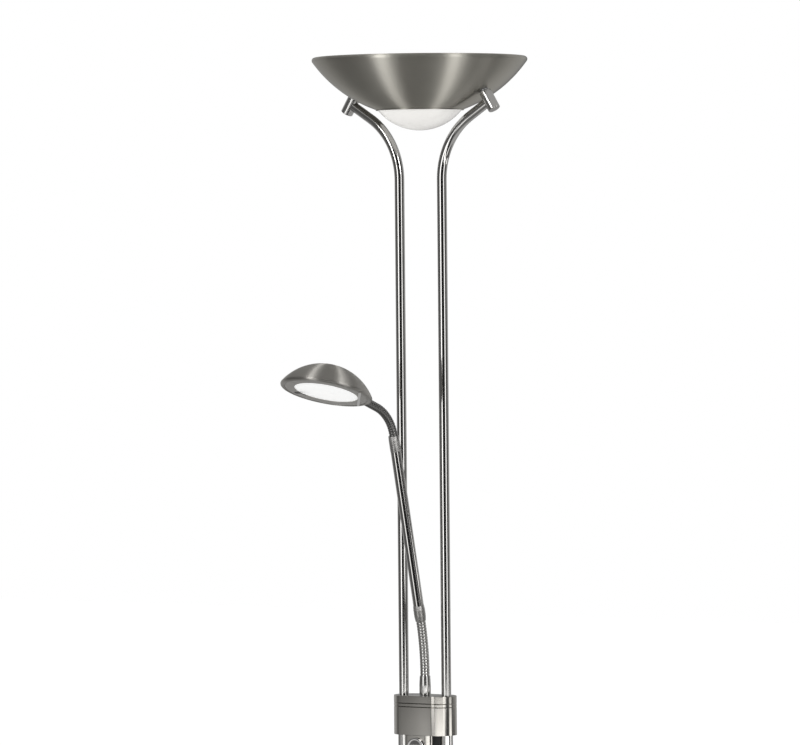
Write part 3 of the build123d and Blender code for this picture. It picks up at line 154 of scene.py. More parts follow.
def put(name: str, data: object) -> Object:
    """Link a mesh, light or camera into the scene as an object at the origin."""
    made = bpy.data.objects.new(name, data)
    bpy.context.scene.collection.objects.link(made)
    return made


def hide(piece: Object, *rays: str) -> None:
    """Keep a piece from being seen by some kinds of rays."""
    for ray in rays:
        setattr(piece, "visible_" + ray, False)


def skin_rows(name: str, rows: Sequence[Sequence[Vector]], looped: bool, sharp: float = 32.0) -> Object:
    """Join rings of points into one closed skin, with a UV map around and along it.

    Args:
        name: The piece's name.
        rows: The rings, each with the same number of points, or one point where the skin meets its axis.
        looped: Whether the last ring joins the first.
        sharp: Edges that turn by more than this, in degrees, stay sharp.

    Returns:
        The new piece, smooth shaded.
    """
    mesh = bpy.data.meshes.new(name)
    build = bmesh.new()
    uv_layer = build.loops.layers.uv.new("UVMap")
    rings = [[build.verts.new(point) for point in row] for row in rows]
    around = max(len(row) for row in rows)
    travel = [0.0]
    for before, after in zip(rows, rows[1:]):
        travel.append(travel[-1] + (after[0] - before[0]).length)
    for index in range(len(rows) if looped else len(rows) - 1):
        following = (index + 1) % len(rows)
        low, high = rings[index], rings[following]
        start = travel[index]
        end = travel[following] if following else start + SEAM_LENGTH
        for turn in range(around):
            corners = []
            for ring, step, height in ((low, 0, start), (low, 1, start), (high, 1, end), (high, 0, end)):
                vertex = ring[(turn + step) % len(ring)]
                if all(vertex is not known for known, _ in corners):
                    corners.append((vertex, ((turn + step) / around, height)))
            if len(corners) < 3:
                continue
            face = build.faces.new([vertex for vertex, _ in corners])
            face.smooth = True
            for loop, (_, uv) in zip(face.loops, corners):
                loop[uv_layer].uv = uv
    bmesh.ops.recalc_face_normals(build, faces=build.faces)
    build.to_mesh(mesh)
    build.free()
    mesh.set_sharp_from_angle(angle=radians(sharp))
    return put(name, mesh)


def axis_frame(origin: Vector, axis: Vector) -> Matrix:
    """The frame at an origin whose Z is an axis and whose X is the lamp's own, square to it."""
    along = axis.normalized()
    across = Vector((1, 0, 0))
    right = (across - along * across.dot(along)).normalized()
    turn = Matrix((right, along.cross(right), along)).transposed()
    return Matrix.Translation(origin) @ turn.to_4x4()


def turned_piece(
    name: str, profile: Sequence[Pair], placing: Matrix = Matrix.Identity(4), sides: int = 96
) -> Object:
    """Turn a profile about its frame's Z axis.

    Args:
        name: The piece's name.
        profile: (radius, height) points. It starts and ends on the axis, or closes on itself.
        placing: The frame it is turned in.
        sides: How many faces go round.

    Returns:
        The new piece.
    """
    rows = []
    for radius, height in profile:
        turns = 1 if radius < ON_AXIS else sides
        angles = [2 * pi * turn / sides + pi / 2 for turn in range(turns)]
        ring = [(radius * cos(angle), radius * sin(angle), height) for angle in angles]
        rows.append([placing @ Vector(point) for point in ring])
    return skin_rows(name, rows, looped=profile[0][0] > ON_AXIS)


def swept_tube(
    name: str, path: Sequence[Vector], outer: float, wall: float, across: Vector, edge: float = 0.0003
) -> Object:
    """A tube with a bore and softened ends, along a flat path.

    Args:
        name: The piece's name.
        path: The points of its centreline.
        outer: The outer radius.
        wall: The wall's thickness.
        across: The direction square to the path's plane.
        edge: How far the ends' edges are rounded.

    Returns:
        The new piece.
    """
    sides = 48
    angles = [2 * pi * turn / sides for turn in range(sides)]

    def ring(place: Vector, heading: Vector, radius: float) -> list[Vector]:
        """One ring of the tube's skin."""
        up = heading.cross(across).normalized()
        return [place + (across * cos(angle) + up * sin(angle)) * radius for angle in angles]

    last = len(path) - 1
    headings = [(path[min(i + 1, last)] - path[max(i - 1, 0)]).normalized() for i in range(len(path))]
    stations = list(zip(path, headings))
    (foot, rise), (top, run) = stations[0], stations[-1]
    rows = [ring(foot, rise, outer - edge), ring(foot + rise * edge, rise, outer)]
    rows += [ring(place, heading, outer) for place, heading in stations[1:-1]]
    rows += [ring(top - run * edge, run, outer), ring(top, run, outer - edge)]
    rows += [ring(place, heading, outer - wall) for place, heading in reversed(stations)]
    return skin_rows(name, rows, looped=True)


# ---- Node trees ------------------------------------------------------------------------------------
class Tree:
    """A node tree under construction, with short calls for its usual nodes."""

    def __init__(self, tree: NodeTree) -> None:
        """Keep the tree that is being built."""
        self.tree = tree

    def feed(self, node: Node, inputs: Inputs) -> None:
        """Link each input of a node, or set it where its source is a plain value."""
        for key, source in inputs.items():
            if isinstance(source, NodeSocket):
                self.tree.links.new(source, node.inputs[key])
            else:
                node.inputs[key].default_value = source

    def add(self, kind: str, inputs: Optional[Inputs] = None, **settings: object) -> Node:
        """Add a node, set its properties and feed its inputs."""
        node = self.tree.nodes.new(kind)
        for name, value in settings.items():
            setattr(node, name, value)
        self.feed(node, inputs or {})
        return node

    def math(self, operation: str, *values: object) -> NodeSocket:
        """A Math node's result."""
        return self.add("ShaderNodeMath", dict(enumerate(values)), operation=operation).outputs[0]

    def ramp(self, value: object, low: float, high: float, begin: object, end: object) -> NodeSocket:
        """A value eased from begin to end as it goes from low to high."""
        inputs = dict(enumerate((value, low, high, begin, end)))
        return self.add("ShaderNodeMapRange", inputs, interpolation_type="SMOOTHSTEP").outputs[0]

    def mix_colours(self, share: object, first: Colour, second: Colour) -> NodeSocket:
        """Two colours mixed. The Mix node's sockets 6, 7 and 2 are its colour ones."""
        inputs = {0: share, 6: (*first, 1.0), 7: (*second, 1.0)}
        return self.add("ShaderNodeMix", inputs, data_type="RGBA").outputs[2]

    def group(self, group: NodeTree, **inputs: object) -> bpy.types.bpy_prop_collection:
        """The outputs of a shared group."""
        return self.add("ShaderNodeGroup", inputs, node_tree=group).outputs


def new_material(name: str) -> tuple[Material, Tree]:
    """A material and the tree behind it."""
    material = bpy.data.materials.new(name)
    material.use_nodes = True
    return material, Tree(material.node_tree)


def make_group(name: str, inputs: Iterable[tuple[str, str, object]], outputs: Iterable[str]) -> Tree:
    """An empty shader group with named sockets.

    Args:
        name: The group's name.
        inputs: Each input as (name, socket type, value).
        outputs: The names of its value outputs.

    Returns:
        The group's tree, ready for nodes.
    """
    group = bpy.data.node_groups.new(name, "ShaderNodeTree")
    for label, kind, value in inputs:
        socket = group.interface.new_socket(label, in_out="INPUT", socket_type="NodeSocket" + kind)
        socket.default_value = value
    for label in outputs:
        group.interface.new_socket(label, in_out="OUTPUT", socket_type="NodeSocketFloat")
    return Tree(group)


PLACE_INPUT = ("Vector", "Vector", (0, 0, 0))


def make_grain_group() -> NodeTree:
    """Fine lines: noise that is stretched by a vector, with a coarse layer that breaks them up."""
    inputs = (PLACE_INPUT, ("Stretch", "Vector", (1, 1, 1)), ("Break", "Float", 0.3))
    made = make_group("FineGrain", inputs, ["Lines"])
    entry = made.add("NodeGroupInput").outputs
    scaled = {0: entry["Vector"], 1: entry["Stretch"]}
    stretched = made.add("ShaderNodeVectorMath", scaled, operation="MULTIPLY").outputs[0]
    settings = {"Vector": stretched, "Scale": 1.0, "Detail": 5.0, "Roughness": 0.68}
    fine = made.add("ShaderNodeTexNoise", settings).outputs[0]
    coarse = made.add("ShaderNodeTexNoise", {"Vector": entry["Vector"], "Scale": 55.0}).outputs[0]
    broken = made.math("MULTIPLY", coarse, entry["Break"])
    kept = made.math("MULTIPLY", fine, made.math("SUBTRACT", 1.0, entry["Break"]))
    made.add("NodeGroupOutput", {"Lines": made.math("ADD", kept, broken)})
    return made.tree


def make_smudge_group() -> NodeTree:
    """Large soft patches, such as handling and age leave on metal, glass and plastic."""
    made = make_group("SoftSmudge", (PLACE_INPUT, ("Size", "Float", 9.0)), ["Patches"])
    entry = made.add("NodeGroupInput").outputs
    settings = {"Vector": entry["Vector"], "Scale": entry["Size"], "Detail": 3.0}
    cloud = made.add("ShaderNodeTexNoise", settings).outputs[0]
    made.add("NodeGroupOutput", {"Patches": made.ramp(cloud, 0.32, 0.68, 0.0, 1.0)})
    return made.tree


def make_rings_group() -> NodeTree:
    """Where a point lies from its piece's axis: its distance from it, and its height."""
    made = make_group("TurnedPlace", (PLACE_INPUT,), ["Distance", "Height"])
    entry = made.add("NodeGroupInput").outputs
    x, y, z = made.add("ShaderNodeSeparateXYZ", {0: entry["Vector"]}).outputs
    squares = [made.math("POWER", part, 2.0) for part in (x, y)]
    made.add("NodeGroupOutput", {"Distance": made.math("SQRT", made.math("ADD", *squares)), "Height": z})
    return made.tree


GRAIN_GROUP = make_grain_group()
SMUDGE_GROUP = make_smudge_group()
RINGS_GROUP = make_rings_group()


# ---- Finishes --------------------------------------------------------------------------------------
class Grain(Enum):
    """Which way a surface's fine lines run."""

    SPUN = "round the piece's axis"
    DRAWN = "along the piece's UV length"
    LEVEL = "along X, as on a belt-brushed face"
    EVEN = "no way at all, as on castings and mouldings"


@dataclass(frozen=True)
class Finish:
    """A procedural finish on the Principled shader, with its fine grain and soft patches."""

    name: str
    colour: Colour
    shade: Colour
    roughness: float
    patch_roughness: float = 0.06
    metallic: float = 0.0
    grain: Grain = Grain.EVEN
    fineness: float = 900.0
    depth: float = 1e-5
    tint: float = 0.35
    anisotropy: float = 0.0
    ior: float = 1.5
    transmission: float = 0.0
    coat: float = 0.0
    # Painted light: emission in the finish's own colour, which makes a part glow though no lamp lights it.
    glow: float = 0.0
    axis_place: Corner = (0.0, 0.0, 0.0)
    axis_tilt: float = 0.0
    crown: float = 0.0

    def place(self, tree: Tree) -> NodeSocket:
        """The piece's own coordinates, turned to its axis where it has one."""
        inputs = {
            "Vector": tree.add("ShaderNodeTexCoord").outputs["Object"],
            "Location": self.axis_place,
            "Rotation": (self.axis_tilt, 0.0, 0.0),
        }
        return tree.add("ShaderNodeMapping", inputs, vector_type="TEXTURE").outputs[0]

    def lines(self, tree: Tree, place: NodeSocket) -> NodeSocket:
        """The grain's height, from 0 to 1."""
        stretch = (self.fineness,) * 3
        broken = 0.25
        if self.grain is Grain.SPUN:
            rings = tree.group(RINGS_GROUP, Vector=place)
            place = tree.add("ShaderNodeCombineXYZ", {0: rings["Distance"], 2: rings["Height"]}).outputs[0]
            broken = 0.0
        elif self.grain is Grain.DRAWN:
            place = tree.add("ShaderNodeUVMap", uv_map="UVMap").outputs[0]
            stretch = DRAWN_STRETCH
        elif self.grain is Grain.LEVEL:
            stretch = (self.fineness * BRUSHED_STRETCH, self.fineness, self.fineness)
        return tree.group(GRAIN_GROUP, Vector=place, Stretch=stretch, Break=broken)["Lines"]

    def crowned(self, tree: Tree, place: NodeSocket) -> NodeSocket:
        """The normal of a face that belting has crowned very slightly across X."""
        x = tree.add("ShaderNodeSeparateXYZ", {0: place}).outputs[0]
        height = tree.math("MULTIPLY", tree.math("MULTIPLY", x, x), -0.5 / self.crown)
        return tree.add("ShaderNodeBump", {"Strength": 1.0, "Distance": 1.0, "Height": height}).outputs[0]

    def make(self) -> Material:
        """Build the material."""
        material, tree = new_material(self.name)
        place = self.place(tree)
        lines = self.lines(tree, place)
        patches = tree.group(SMUDGE_GROUP, Vector=place)["Patches"]
        share = tree.math("MULTIPLY", tree.math("ADD", lines, patches), self.tint)
        smoothest = self.roughness - self.patch_roughness / 2
        bump: Inputs = {"Strength": 1.0, "Distance": self.depth, "Height": lines}
        if self.crown:
            bump["Normal"] = self.crowned(tree, place)
        inputs: Inputs = {
            "Base Color": tree.mix_colours(share, self.colour, self.shade),
            "Roughness": tree.math("MULTIPLY_ADD", patches, self.patch_roughness, smoothest),
            "Normal": tree.add("ShaderNodeBump", bump).outputs[0],
            "Metallic": self.metallic,
            "IOR": self.ior,
            "Transmission Weight": self.transmission,
            "Coat Weight": self.coat,
        }
        if self.anisotropy:
            tangent = tree.add("ShaderNodeTangent", direction_type="UV_MAP", uv_map="UVMap")
            inputs["Anisotropic"] = self.anisotropy
            inputs["Anisotropic Rotation"] = ACROSS_THE_GROOVES
            inputs["Tangent"] = tangent.outputs[0]
        # Painted light: the part glows in its own colour.
        if self.glow:
            inputs["Emission Color"] = (*self.colour, 1.0)
            inputs["Emission Strength"] = self.glow
        tree.feed(tree.tree.nodes["Principled BSDF"], inputs)
        return material


class Finishes:
    """The lamp's finishes, one material each."""

    def __init__(self) -> None:
        """Make every material once."""
        spun = {"metallic": 1.0, "grain": Grain.SPUN, "fineness": 1500.0, "tint": 0.3}
        smooth = {"metallic": 1.0, "patch_roughness": 0.02, "depth": 4e-7}
        fitting = {"metallic": 1.0, "fineness": 700.0, "depth": 8e-7}
        belted = {"grain": Grain.LEVEL, "crown": 0.32}
        on_head = {"axis_place": HEAD_PLACE, "axis_tilt": -HEAD_TILT}
        bowl_nickel = ((0.5, 0.484, 0.44), (0.4, 0.384, 0.338))
        # Painted shade: a darkened copy of the necks' nickel, for the upper neck only.
        neck_nickel_painted_darker = ((0.2, 0.198, 0.194), (0.13, 0.128, 0.125))
        soft_nickel = ((0.43, 0.425, 0.415), (0.34, 0.335, 0.32))
        polished = ((0.62, 0.61, 0.6), (0.5, 0.49, 0.48))
        opal = ((0.9, 0.885, 0.86), (0.84, 0.825, 0.79))
        clear = ((0.93, 0.96, 0.95), (0.9, 0.94, 0.93))
        black = ((0.018, 0.018, 0.018), (0.01, 0.01, 0.01))
        foam = ((0.03, 0.03, 0.03), (0.015, 0.015, 0.015))
        iron = ((0.07, 0.07, 0.07), (0.03, 0.028, 0.026))
        zinc = ((0.5, 0.51, 0.52), (0.36, 0.37, 0.39))
        ring = ((0.37, 0.36, 0.34), (0.29, 0.28, 0.265))
        ceramic = ((0.8, 0.78, 0.72), (0.66, 0.62, 0.54))
        board = ((0.03, 0.16, 0.07), (0.015, 0.09, 0.04))
        frosted = ((0.9, 0.9, 0.89), (0.8, 0.81, 0.81))
        made = {
            "spun_bowl": Finish("SpunNickelBowl", *bowl_nickel, 0.48, depth=4e-6, anisotropy=1.0, **spun),
            "spun_shade": Finish(
                "SpunNickelShade", *NICKEL, 0.42, depth=3e-6, anisotropy=1.0, **on_head, **spun
            ),
            "spun_base": Finish("SpunNickelBase", *NICKEL, 0.42, depth=4e-6, anisotropy=0.85, **spun),
            "tube": Finish("SatinNickelTube", *TUBE_NICKEL, 0.085, grain=Grain.DRAWN, tint=0.2, **smooth),
            "plain_tube": Finish("SatinNickelFitting", *TUBE_NICKEL, 0.2, tint=0.2, **fitting),
            # Painted shade: the upper neck's nickel, darker than the lower neck's though both are one finish.
            "dark_neck": Finish("DarkNickelNeck", *neck_nickel_painted_darker, 0.2, tint=0.3, **fitting),
            "ferrule": Finish("SatinNickelFerrule", *soft_nickel, 0.3, tint=0.2, **fitting),
            "brushed": Finish("BrushedNickel", *NICKEL, 0.11, fineness=2600.0, tint=0.3, **belted, **smooth),
            "polished": Finish("PolishedKnob", *polished, 0.07, metallic=1.0, tint=0.2),
            "zinc": Finish("ZincSteel", *zinc, 0.36, metallic=1.0, fineness=400.0, tint=0.5),
            "spring": Finish("SpringSteel", (0.1, 0.098, 0.095), (0.05,) * 3, 0.35, metallic=1.0, tint=0.5),
            "brass": Finish("TurnedBrass", (0.68, 0.5, 0.22), (0.5, 0.34, 0.13), 0.3, metallic=1.0, tint=0.4),
            "iron": Finish("CastIron", *iron, 0.75, fineness=260.0, depth=4e-4, tint=0.6),
            "foam": Finish("SoftPad", *foam, 0.9, fineness=800.0, depth=2e-4),
            "black": Finish("BlackMoulding", *black, 0.42, fineness=1400.0, depth=2e-5),
            "white": Finish("WhiteMoulding", (0.78, 0.77, 0.73), (0.68, 0.66, 0.6), 0.45),
            "board": Finish("PrintedBoard", *board, 0.4, fineness=500.0, coat=0.3),
            "ceramic": Finish("UnglazedCeramic", *ceramic, 0.7, fineness=500.0, depth=5e-5),
            "ring": Finish("GreyRing", *ring, 0.36, metallic=0.6),
            "reflector": Finish("BrightReflector", (0.8,) * 3, (0.66,) * 3, 0.15, metallic=1.0, tint=0.2),
            # The opal and frosted glass carry painted light: a faint glow that brightens their downward
            # faces.
            "opal": Finish("OpalGlass", *opal, 0.12, fineness=60.0, coat=0.2, glow=0.12),
            "frosted": Finish("FrostedGlass", *frosted, 0.45, fineness=60.0, glow=0.28),
            "clear": Finish("ClearGlass", *clear, 0.02, transmission=1.0, tint=0.2, ior=1.48),
        }
        self.materials = {name: finish.make() for name, finish in made.items()}

    def __getattr__(self, name: str) -> Material:
        """A finish's material by its name."""
        return self.__dict__["materials"][name]


def dress_nodes(material: Material, *names: str) -> None:
    """Give CAD nodes a material in place of their plain one."""
    for name in names:
        for slot in frame["nodes"][name].material_slots:
            slot.material = material


def finish_piece(piece: Object, material: Material, slot: str, body: str, *nodes: str) -> None:
    """Dress a piece, let it stand for its CAD nodes and let it ride on its body.

    Args:
        piece: The piece, in place.
        material: Its finish.
        slot: The record's material slot. It is not used.
        body: The body it rides on.
        nodes: The CAD nodes it replaces.
    """
    piece.data.materials.append(material)
    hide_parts(*nodes)
    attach(piece, body)
    LOG.info("%s: %d faces on %s", piece.name, len(piece.data.polygons), body)


# ---- Geometry Nodes --------------------------------------------------------------------------------
class RibbedTree:
    """The Geometry Nodes tree that makes a ribbed neck from its path."""

    def __init__(self) -> None:
        """Build the tree once; each neck sets its own inputs."""
        self.group = bpy.data.node_groups.new("RibbedNeck", "GeometryNodeTree")
        self.group.is_modifier = True
        self.tree = Tree(self.group)
        sockets = {
            "Geometry": ("Path",),
            "Float": ("Root Radius", "Crest Radius", "Plain Begin", "Plain End"),
            "Int": ("Rib Count", "Rings", "Sides"),
            "Material": ("Finish",),
        }
        for kind, names in sockets.items():
            for name in names:
                self.group.interface.new_socket(name, in_out="INPUT", socket_type="NodeSocket" + kind)
        self.group.interface.new_socket("Neck", in_out="OUTPUT", socket_type="NodeSocketGeometry")
        self.wire()

    def radius(self, entry: bpy.types.bpy_prop_collection, path: NodeSocket) -> NodeSocket:
        """The neck's radius along its path: its root, and a rounded rib at each pitch."""
        tree = self.tree
        along = tree.add("GeometryNodeSplineParameter").outputs["Length"]
        total = tree.add("GeometryNodeCurveLength", {0: path}).outputs[0]
        ribbed = tree.math("SUBTRACT", total, entry["Plain Begin"])
        ribbed = tree.math("SUBTRACT", ribbed, entry["Plain End"])
        share = tree.math("DIVIDE", tree.math("SUBTRACT", along, entry["Plain Begin"]), ribbed)
        begun = tree.math("GREATER_THAN", share, 0.0)
        inside = tree.math("MULTIPLY", begun, tree.math("LESS_THAN", share, 1.0))
        turn = tree.math("MULTIPLY", tree.math("MULTIPLY", share, entry["Rib Count"]), pi)
        wave = tree.math("ABSOLUTE", tree.math("SINE", turn))
        crest = tree.math("MULTIPLY", tree.math("POWER", wave, RIB_ROUNDNESS), inside)
        height = tree.math("SUBTRACT", entry["Crest Radius"], entry["Root Radius"])
        return tree.math("ADD", tree.math("MULTIPLY", crest, height), entry["Root Radius"])

    def wire(self) -> None:
        """Join the nodes from the path to the finished mesh."""
        tree = self.tree
        entry = tree.add("NodeGroupInput").outputs
        evened = {"Curve": entry["Path"], "Count": entry["Rings"]}
        path = tree.add("GeometryNodeResampleCurve", evened).outputs[0]
        round_one = {"Resolution": entry["Sides"], "Radius": 1.0}
        circle = tree.add("GeometryNodeCurvePrimitiveCircle", round_one).outputs[0]
        scale = self.radius(entry, path)
        swept = {"Curve": path, "Profile Curve": circle, "Scale": scale, "Fill Caps": True}
        skin = tree.add("GeometryNodeCurveToMesh", swept).outputs[0]
        smooth = tree.add("GeometryNodeSetShadeSmooth", {0: skin}).outputs[0]
        real = tree.add("GeometryNodeRealizeInstances", {0: smooth}).outputs[0]
        dressed = tree.add("GeometryNodeSetMaterial", {"Geometry": real, "Material": entry["Finish"]})
        tree.add("NodeGroupOutput", {0: dressed.outputs[0]})

    def grow(self, name: str, path: Sequence[Vector], values: dict[str, object]) -> Object:
        """Run the tree on a path.

        Args:
            name: The new piece's name.
            path: The points of the neck's centreline.
            values: The tree's inputs by name.

        Returns:
            The neck as a plain mesh piece.
        """
        curve = bpy.data.curves.new(name + "_path", "CURVE")
        curve.dimensions = "3D"
        spline = curve.splines.new("POLY")
        spline.points.add(len(path) - 1)
        for point, place in zip(spline.points, path):
            point.co = (*place, 1.0)
        carrier = put(name + "_path", curve)
        modifier = carrier.modifiers.new("RibbedNeck", "NODES")
        modifier.node_group = self.group
        for item in self.group.interface.items_tree:
            if item.in_out == "INPUT" and item.name in values:
                modifier[item.identifier] = values[item.name]
        graph = bpy.context.evaluated_depsgraph_get()
        mesh = bpy.data.meshes.new_from_object(carrier.evaluated_get(graph), depsgraph=graph)
        carrier.modifiers.remove(modifier)
        bpy.data.objects.remove(carrier)
        mesh.name = name
        return put(name, mesh)


# ---- The lamp's sub-assemblies ---------------------------------------------------------------------
@dataclass
class WeightedBase:
    """The spun base cover over its weight, pad and fixings."""

    radius: float = 0.138
    height: float = 0.030
    shoulder: float = 0.020
    flat_radius: float = 0.066
    lift: float = 0.001
    wall: float = 0.0012
    corner: float = 0.009
    crown: float = 0.030
    edge: float = 0.0006
    pad_steps: int = 12

    def profile(self) -> list[Pair]:
        """The cover's section: out along its inside, round its foot, and back over the top."""
        inner = self.radius - self.wall
        inside = [
            (0.0, self.height - self.wall),
            (self.flat_radius, self.height - self.wall),
            (inner - self.corner / 2, self.shoulder - self.wall),
            (inner, self.shoulder - self.corner / 2),
        ]
        outside = (
            (inner, self.lift, 0.0),
            (self.radius, self.lift, self.edge),
            (self.radius, self.shoulder, self.corner),
            (self.flat_radius, self.height, self.crown),
            (0.0, self.height, 0.0),
        )
        return inside + soften(outside, steps=10, closed=False)

    def pad_profile(self, low: float, high: float, radius: float) -> list[Pair]:
        """The pad's section: flat where it rests, with its edge crowned out as soft foam stands."""
        bulge = (high - low) / 2
        edge = arc((radius - bulge, (low + high) / 2), bulge, 0.0, pi, self.pad_steps)
        return [(0.0, high)] + edge + [(0.0, low)]

    def build(self, finishes: Finishes) -> None:
        """Build and dress the base."""
        cover = turned_piece("base_cover_spun", self.profile(), sides=160)
        finish_piece(cover, finishes.spun_base, "brushed_nickel", "stand", "base_cover")
        low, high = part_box("base_pad")
        pad = turned_piece("base_pad_soft", self.pad_profile(low.z, high.z, high.x), sides=128)
        finish_piece(pad, finishes.foam, "black_foam", "stand", "base_pad")
        dress_nodes(finishes.iron, "base_weight")
        dress_nodes(finishes.zinc, "base_washers", "hexagon_nuts")
        dress_nodes(finishes.black, "cord_grommet")
        dress_nodes(finishes.brass, "pole_plugs", "pole_nipples")


@dataclass
class BowlFigures:
    """The bowl's section, which the poles and the glass are placed by."""

    top: float = 1.8
    radius: float = 0.140
    curve: float = 0.1707
    wall: float = 0.001
    roll: float = 0.0038
    roll_turn: float = radians(205.0)
    opening: float = 0.0555
    hem: float = 0.0015
    knob_ring: float = 0.101
    knob_tilt: float = radians(32.0)
    spacer: float = 0.003
    knob_length: float = 0.027

    @property
    def rim_angle(self) -> float:
        """The wall's angle from straight down where the rim's roll starts."""
        return asin((self.radius - self.roll) / (self.curve - self.roll))

    @property
    def centre(self) -> float:
        """Height of the bowl's centre of curvature."""
        return self.top - self.roll + (self.curve - self.roll) * cos(self.rim_angle)

    def height(self, radius: float, curve: float) -> float:
        """Height of a sphere about the bowl's centre, at a distance from the axis."""
        return self.centre - sqrt(curve**2 - radius**2)

    @property
    def hem_height(self) -> float:
        """Height of the rolled hem's middle."""
        return self.height(self.opening + self.hem, self.curve - self.wall / 2)

    @property
    def knob_centre(self) -> Pair:
        """Distance from the axis and height of a holding knob's middle."""
        reach = self.spacer + self.knob_length / 2
        foot = self.height(self.knob_ring, self.curve)
        return self.knob_ring + reach * sin(self.knob_tilt), foot - reach * cos(self.knob_tilt)


@dataclass
class Poles:
    """The two straight lower poles and the two bent upper poles."""

    bowl: BowlFigures
    spacing: float = 0.067
    lower_radius: float = 0.0081
    lower_wall: float = 0.0012
    upper_radius: float = 0.00635
    upper_wall: float = 0.001
    bend_radius: float = 0.095
    bend: float = radians(58.0)
    knob_radius: float = 0.008
    bite: float = 0.003
    bend_steps: int = 48

    def upper_path(self, side: int) -> list[Vector]:
        """The centreline of an upper pole, from its foot to the knob."""
        foot_x = self.spacing / 2
        knob_x, knob_z = self.bowl.knob_centre
        run = knob_x - foot_x - self.bend_radius * (1 - cos(self.bend))
        straight = run / sin(self.bend)
        start = knob_z - straight * cos(self.bend) - self.bend_radius * sin(self.bend)
        foot_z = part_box("upper_pole_right")[0].z
        stop = straight - self.knob_radius + self.bite
        points = [(foot_x, foot_z), (foot_x, foot_z + (start - foot_z) * 0.5)]
        for step in range(self.bend_steps + 1):
            angle = self.bend * step / self.bend_steps
            across = foot_x + self.bend_radius * (1 - cos(angle))
            points.append((across, start + self.bend_radius * sin(angle)))
        last_x, last_z = points[-1]
        points.append((last_x + stop * sin(self.bend), last_z + stop * cos(self.bend)))
        return [Vector((side * across, 0.0, up)) for across, up in points]

    def lower_path(self, side: int, name: str) -> list[Vector]:
        """The centreline of a lower pole."""
        low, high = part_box("lower_pole_" + name)
        heights = (low.z, (low.z + high.z) / 2, high.z)
        return [Vector((side * self.spacing / 2, 0.0, height)) for height in heights]

    def build(self, finishes: Finishes) -> None:
        """Build and dress the poles."""
        across = Vector((0, 1, 0))
        for side, name in ((-1, "left"), (1, "right")):
            path = self.upper_path(side)
            upper = swept_tube("upper_pole_bent_" + name, path, self.upper_radius, self.upper_wall, across)
            finish_piece(upper, finishes.tube, "satin_nickel", "stand", "upper_pole_" + name)
            path = self.lower_path(side, name)
            title = "lower_pole_straight_" + name
            lower = swept_tube(title, path, self.lower_radius, self.lower_wall, across)
            finish_piece(lower, finishes.tube, "satin_nickel", "stand", "lower_pole_" + name)


@dataclass
class CollarAndControls:
    """The collar in its three pieces, and the dimmer box under it."""

    disc_radius: float = 0.0134
    disc_thickness: float = 0.0024
    disc_edge: float = 0.0009
    dish_radius: float = 0.0102
    dish_depth: float = 0.0009
    hub_radius: float = 0.0054
    hub_length: float = 0.0028
    dish_steps: int = 10

    def disc_profile(self) -> list[Pair]:
        """A dimmer disc's section, with its back at height 0 and its dished face up."""
        shares = [step / self.dish_steps for step in range(self.dish_steps)]
        face = self.disc_thickness
        dish = [(self.dish_radius * share, face - self.dish_depth * (1 - share**2)) for share in shares]
        rim = (
            (self.dish_radius, face, 0.0),
            (self.disc_radius, face, self.disc_edge),
            (self.disc_radius, 0.0, self.disc_edge / 2),
            (self.hub_radius, 0.0, 0.0),
            (self.hub_radius, -self.hub_length, 0.0),
            (0.0, -self.hub_length, 0.0),
        )
        return dish + soften(rim, closed=False)

    def build(self, finishes: Finishes) -> None:
        """Build and dress the collar and the controls."""
        dress_nodes(finishes.brushed, "collar_body", "collar_band", "collar_cap", "control_cover")
        dress_nodes(finishes.black, "control_box", "dimmers", "board_components")
        dress_nodes(finishes.zinc, "collar_screws", "dimmer_plate", "small_screws")
        dress_nodes(finishes.board, "circuit_board")
        dress_nodes(finishes.white, "terminal_block")
        dress_nodes(finishes.brass, "dimmer_shaft_upper", "dimmer_shaft_lower")
        for name in ("upper", "lower"):
            low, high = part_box("dimmer_knob_" + name)
            back = Vector((0.0, low.y + self.disc_thickness, (low.z + high.z) / 2))
            placing = axis_frame(back, Vector((0, -1, 0)))
            disc = turned_piece("dimmer_disc_" + name, self.disc_profile(), placing)
            finish_piece(disc, finishes.polished, "chrome_knob", name + "_dial", "dimmer_knob_" + name)


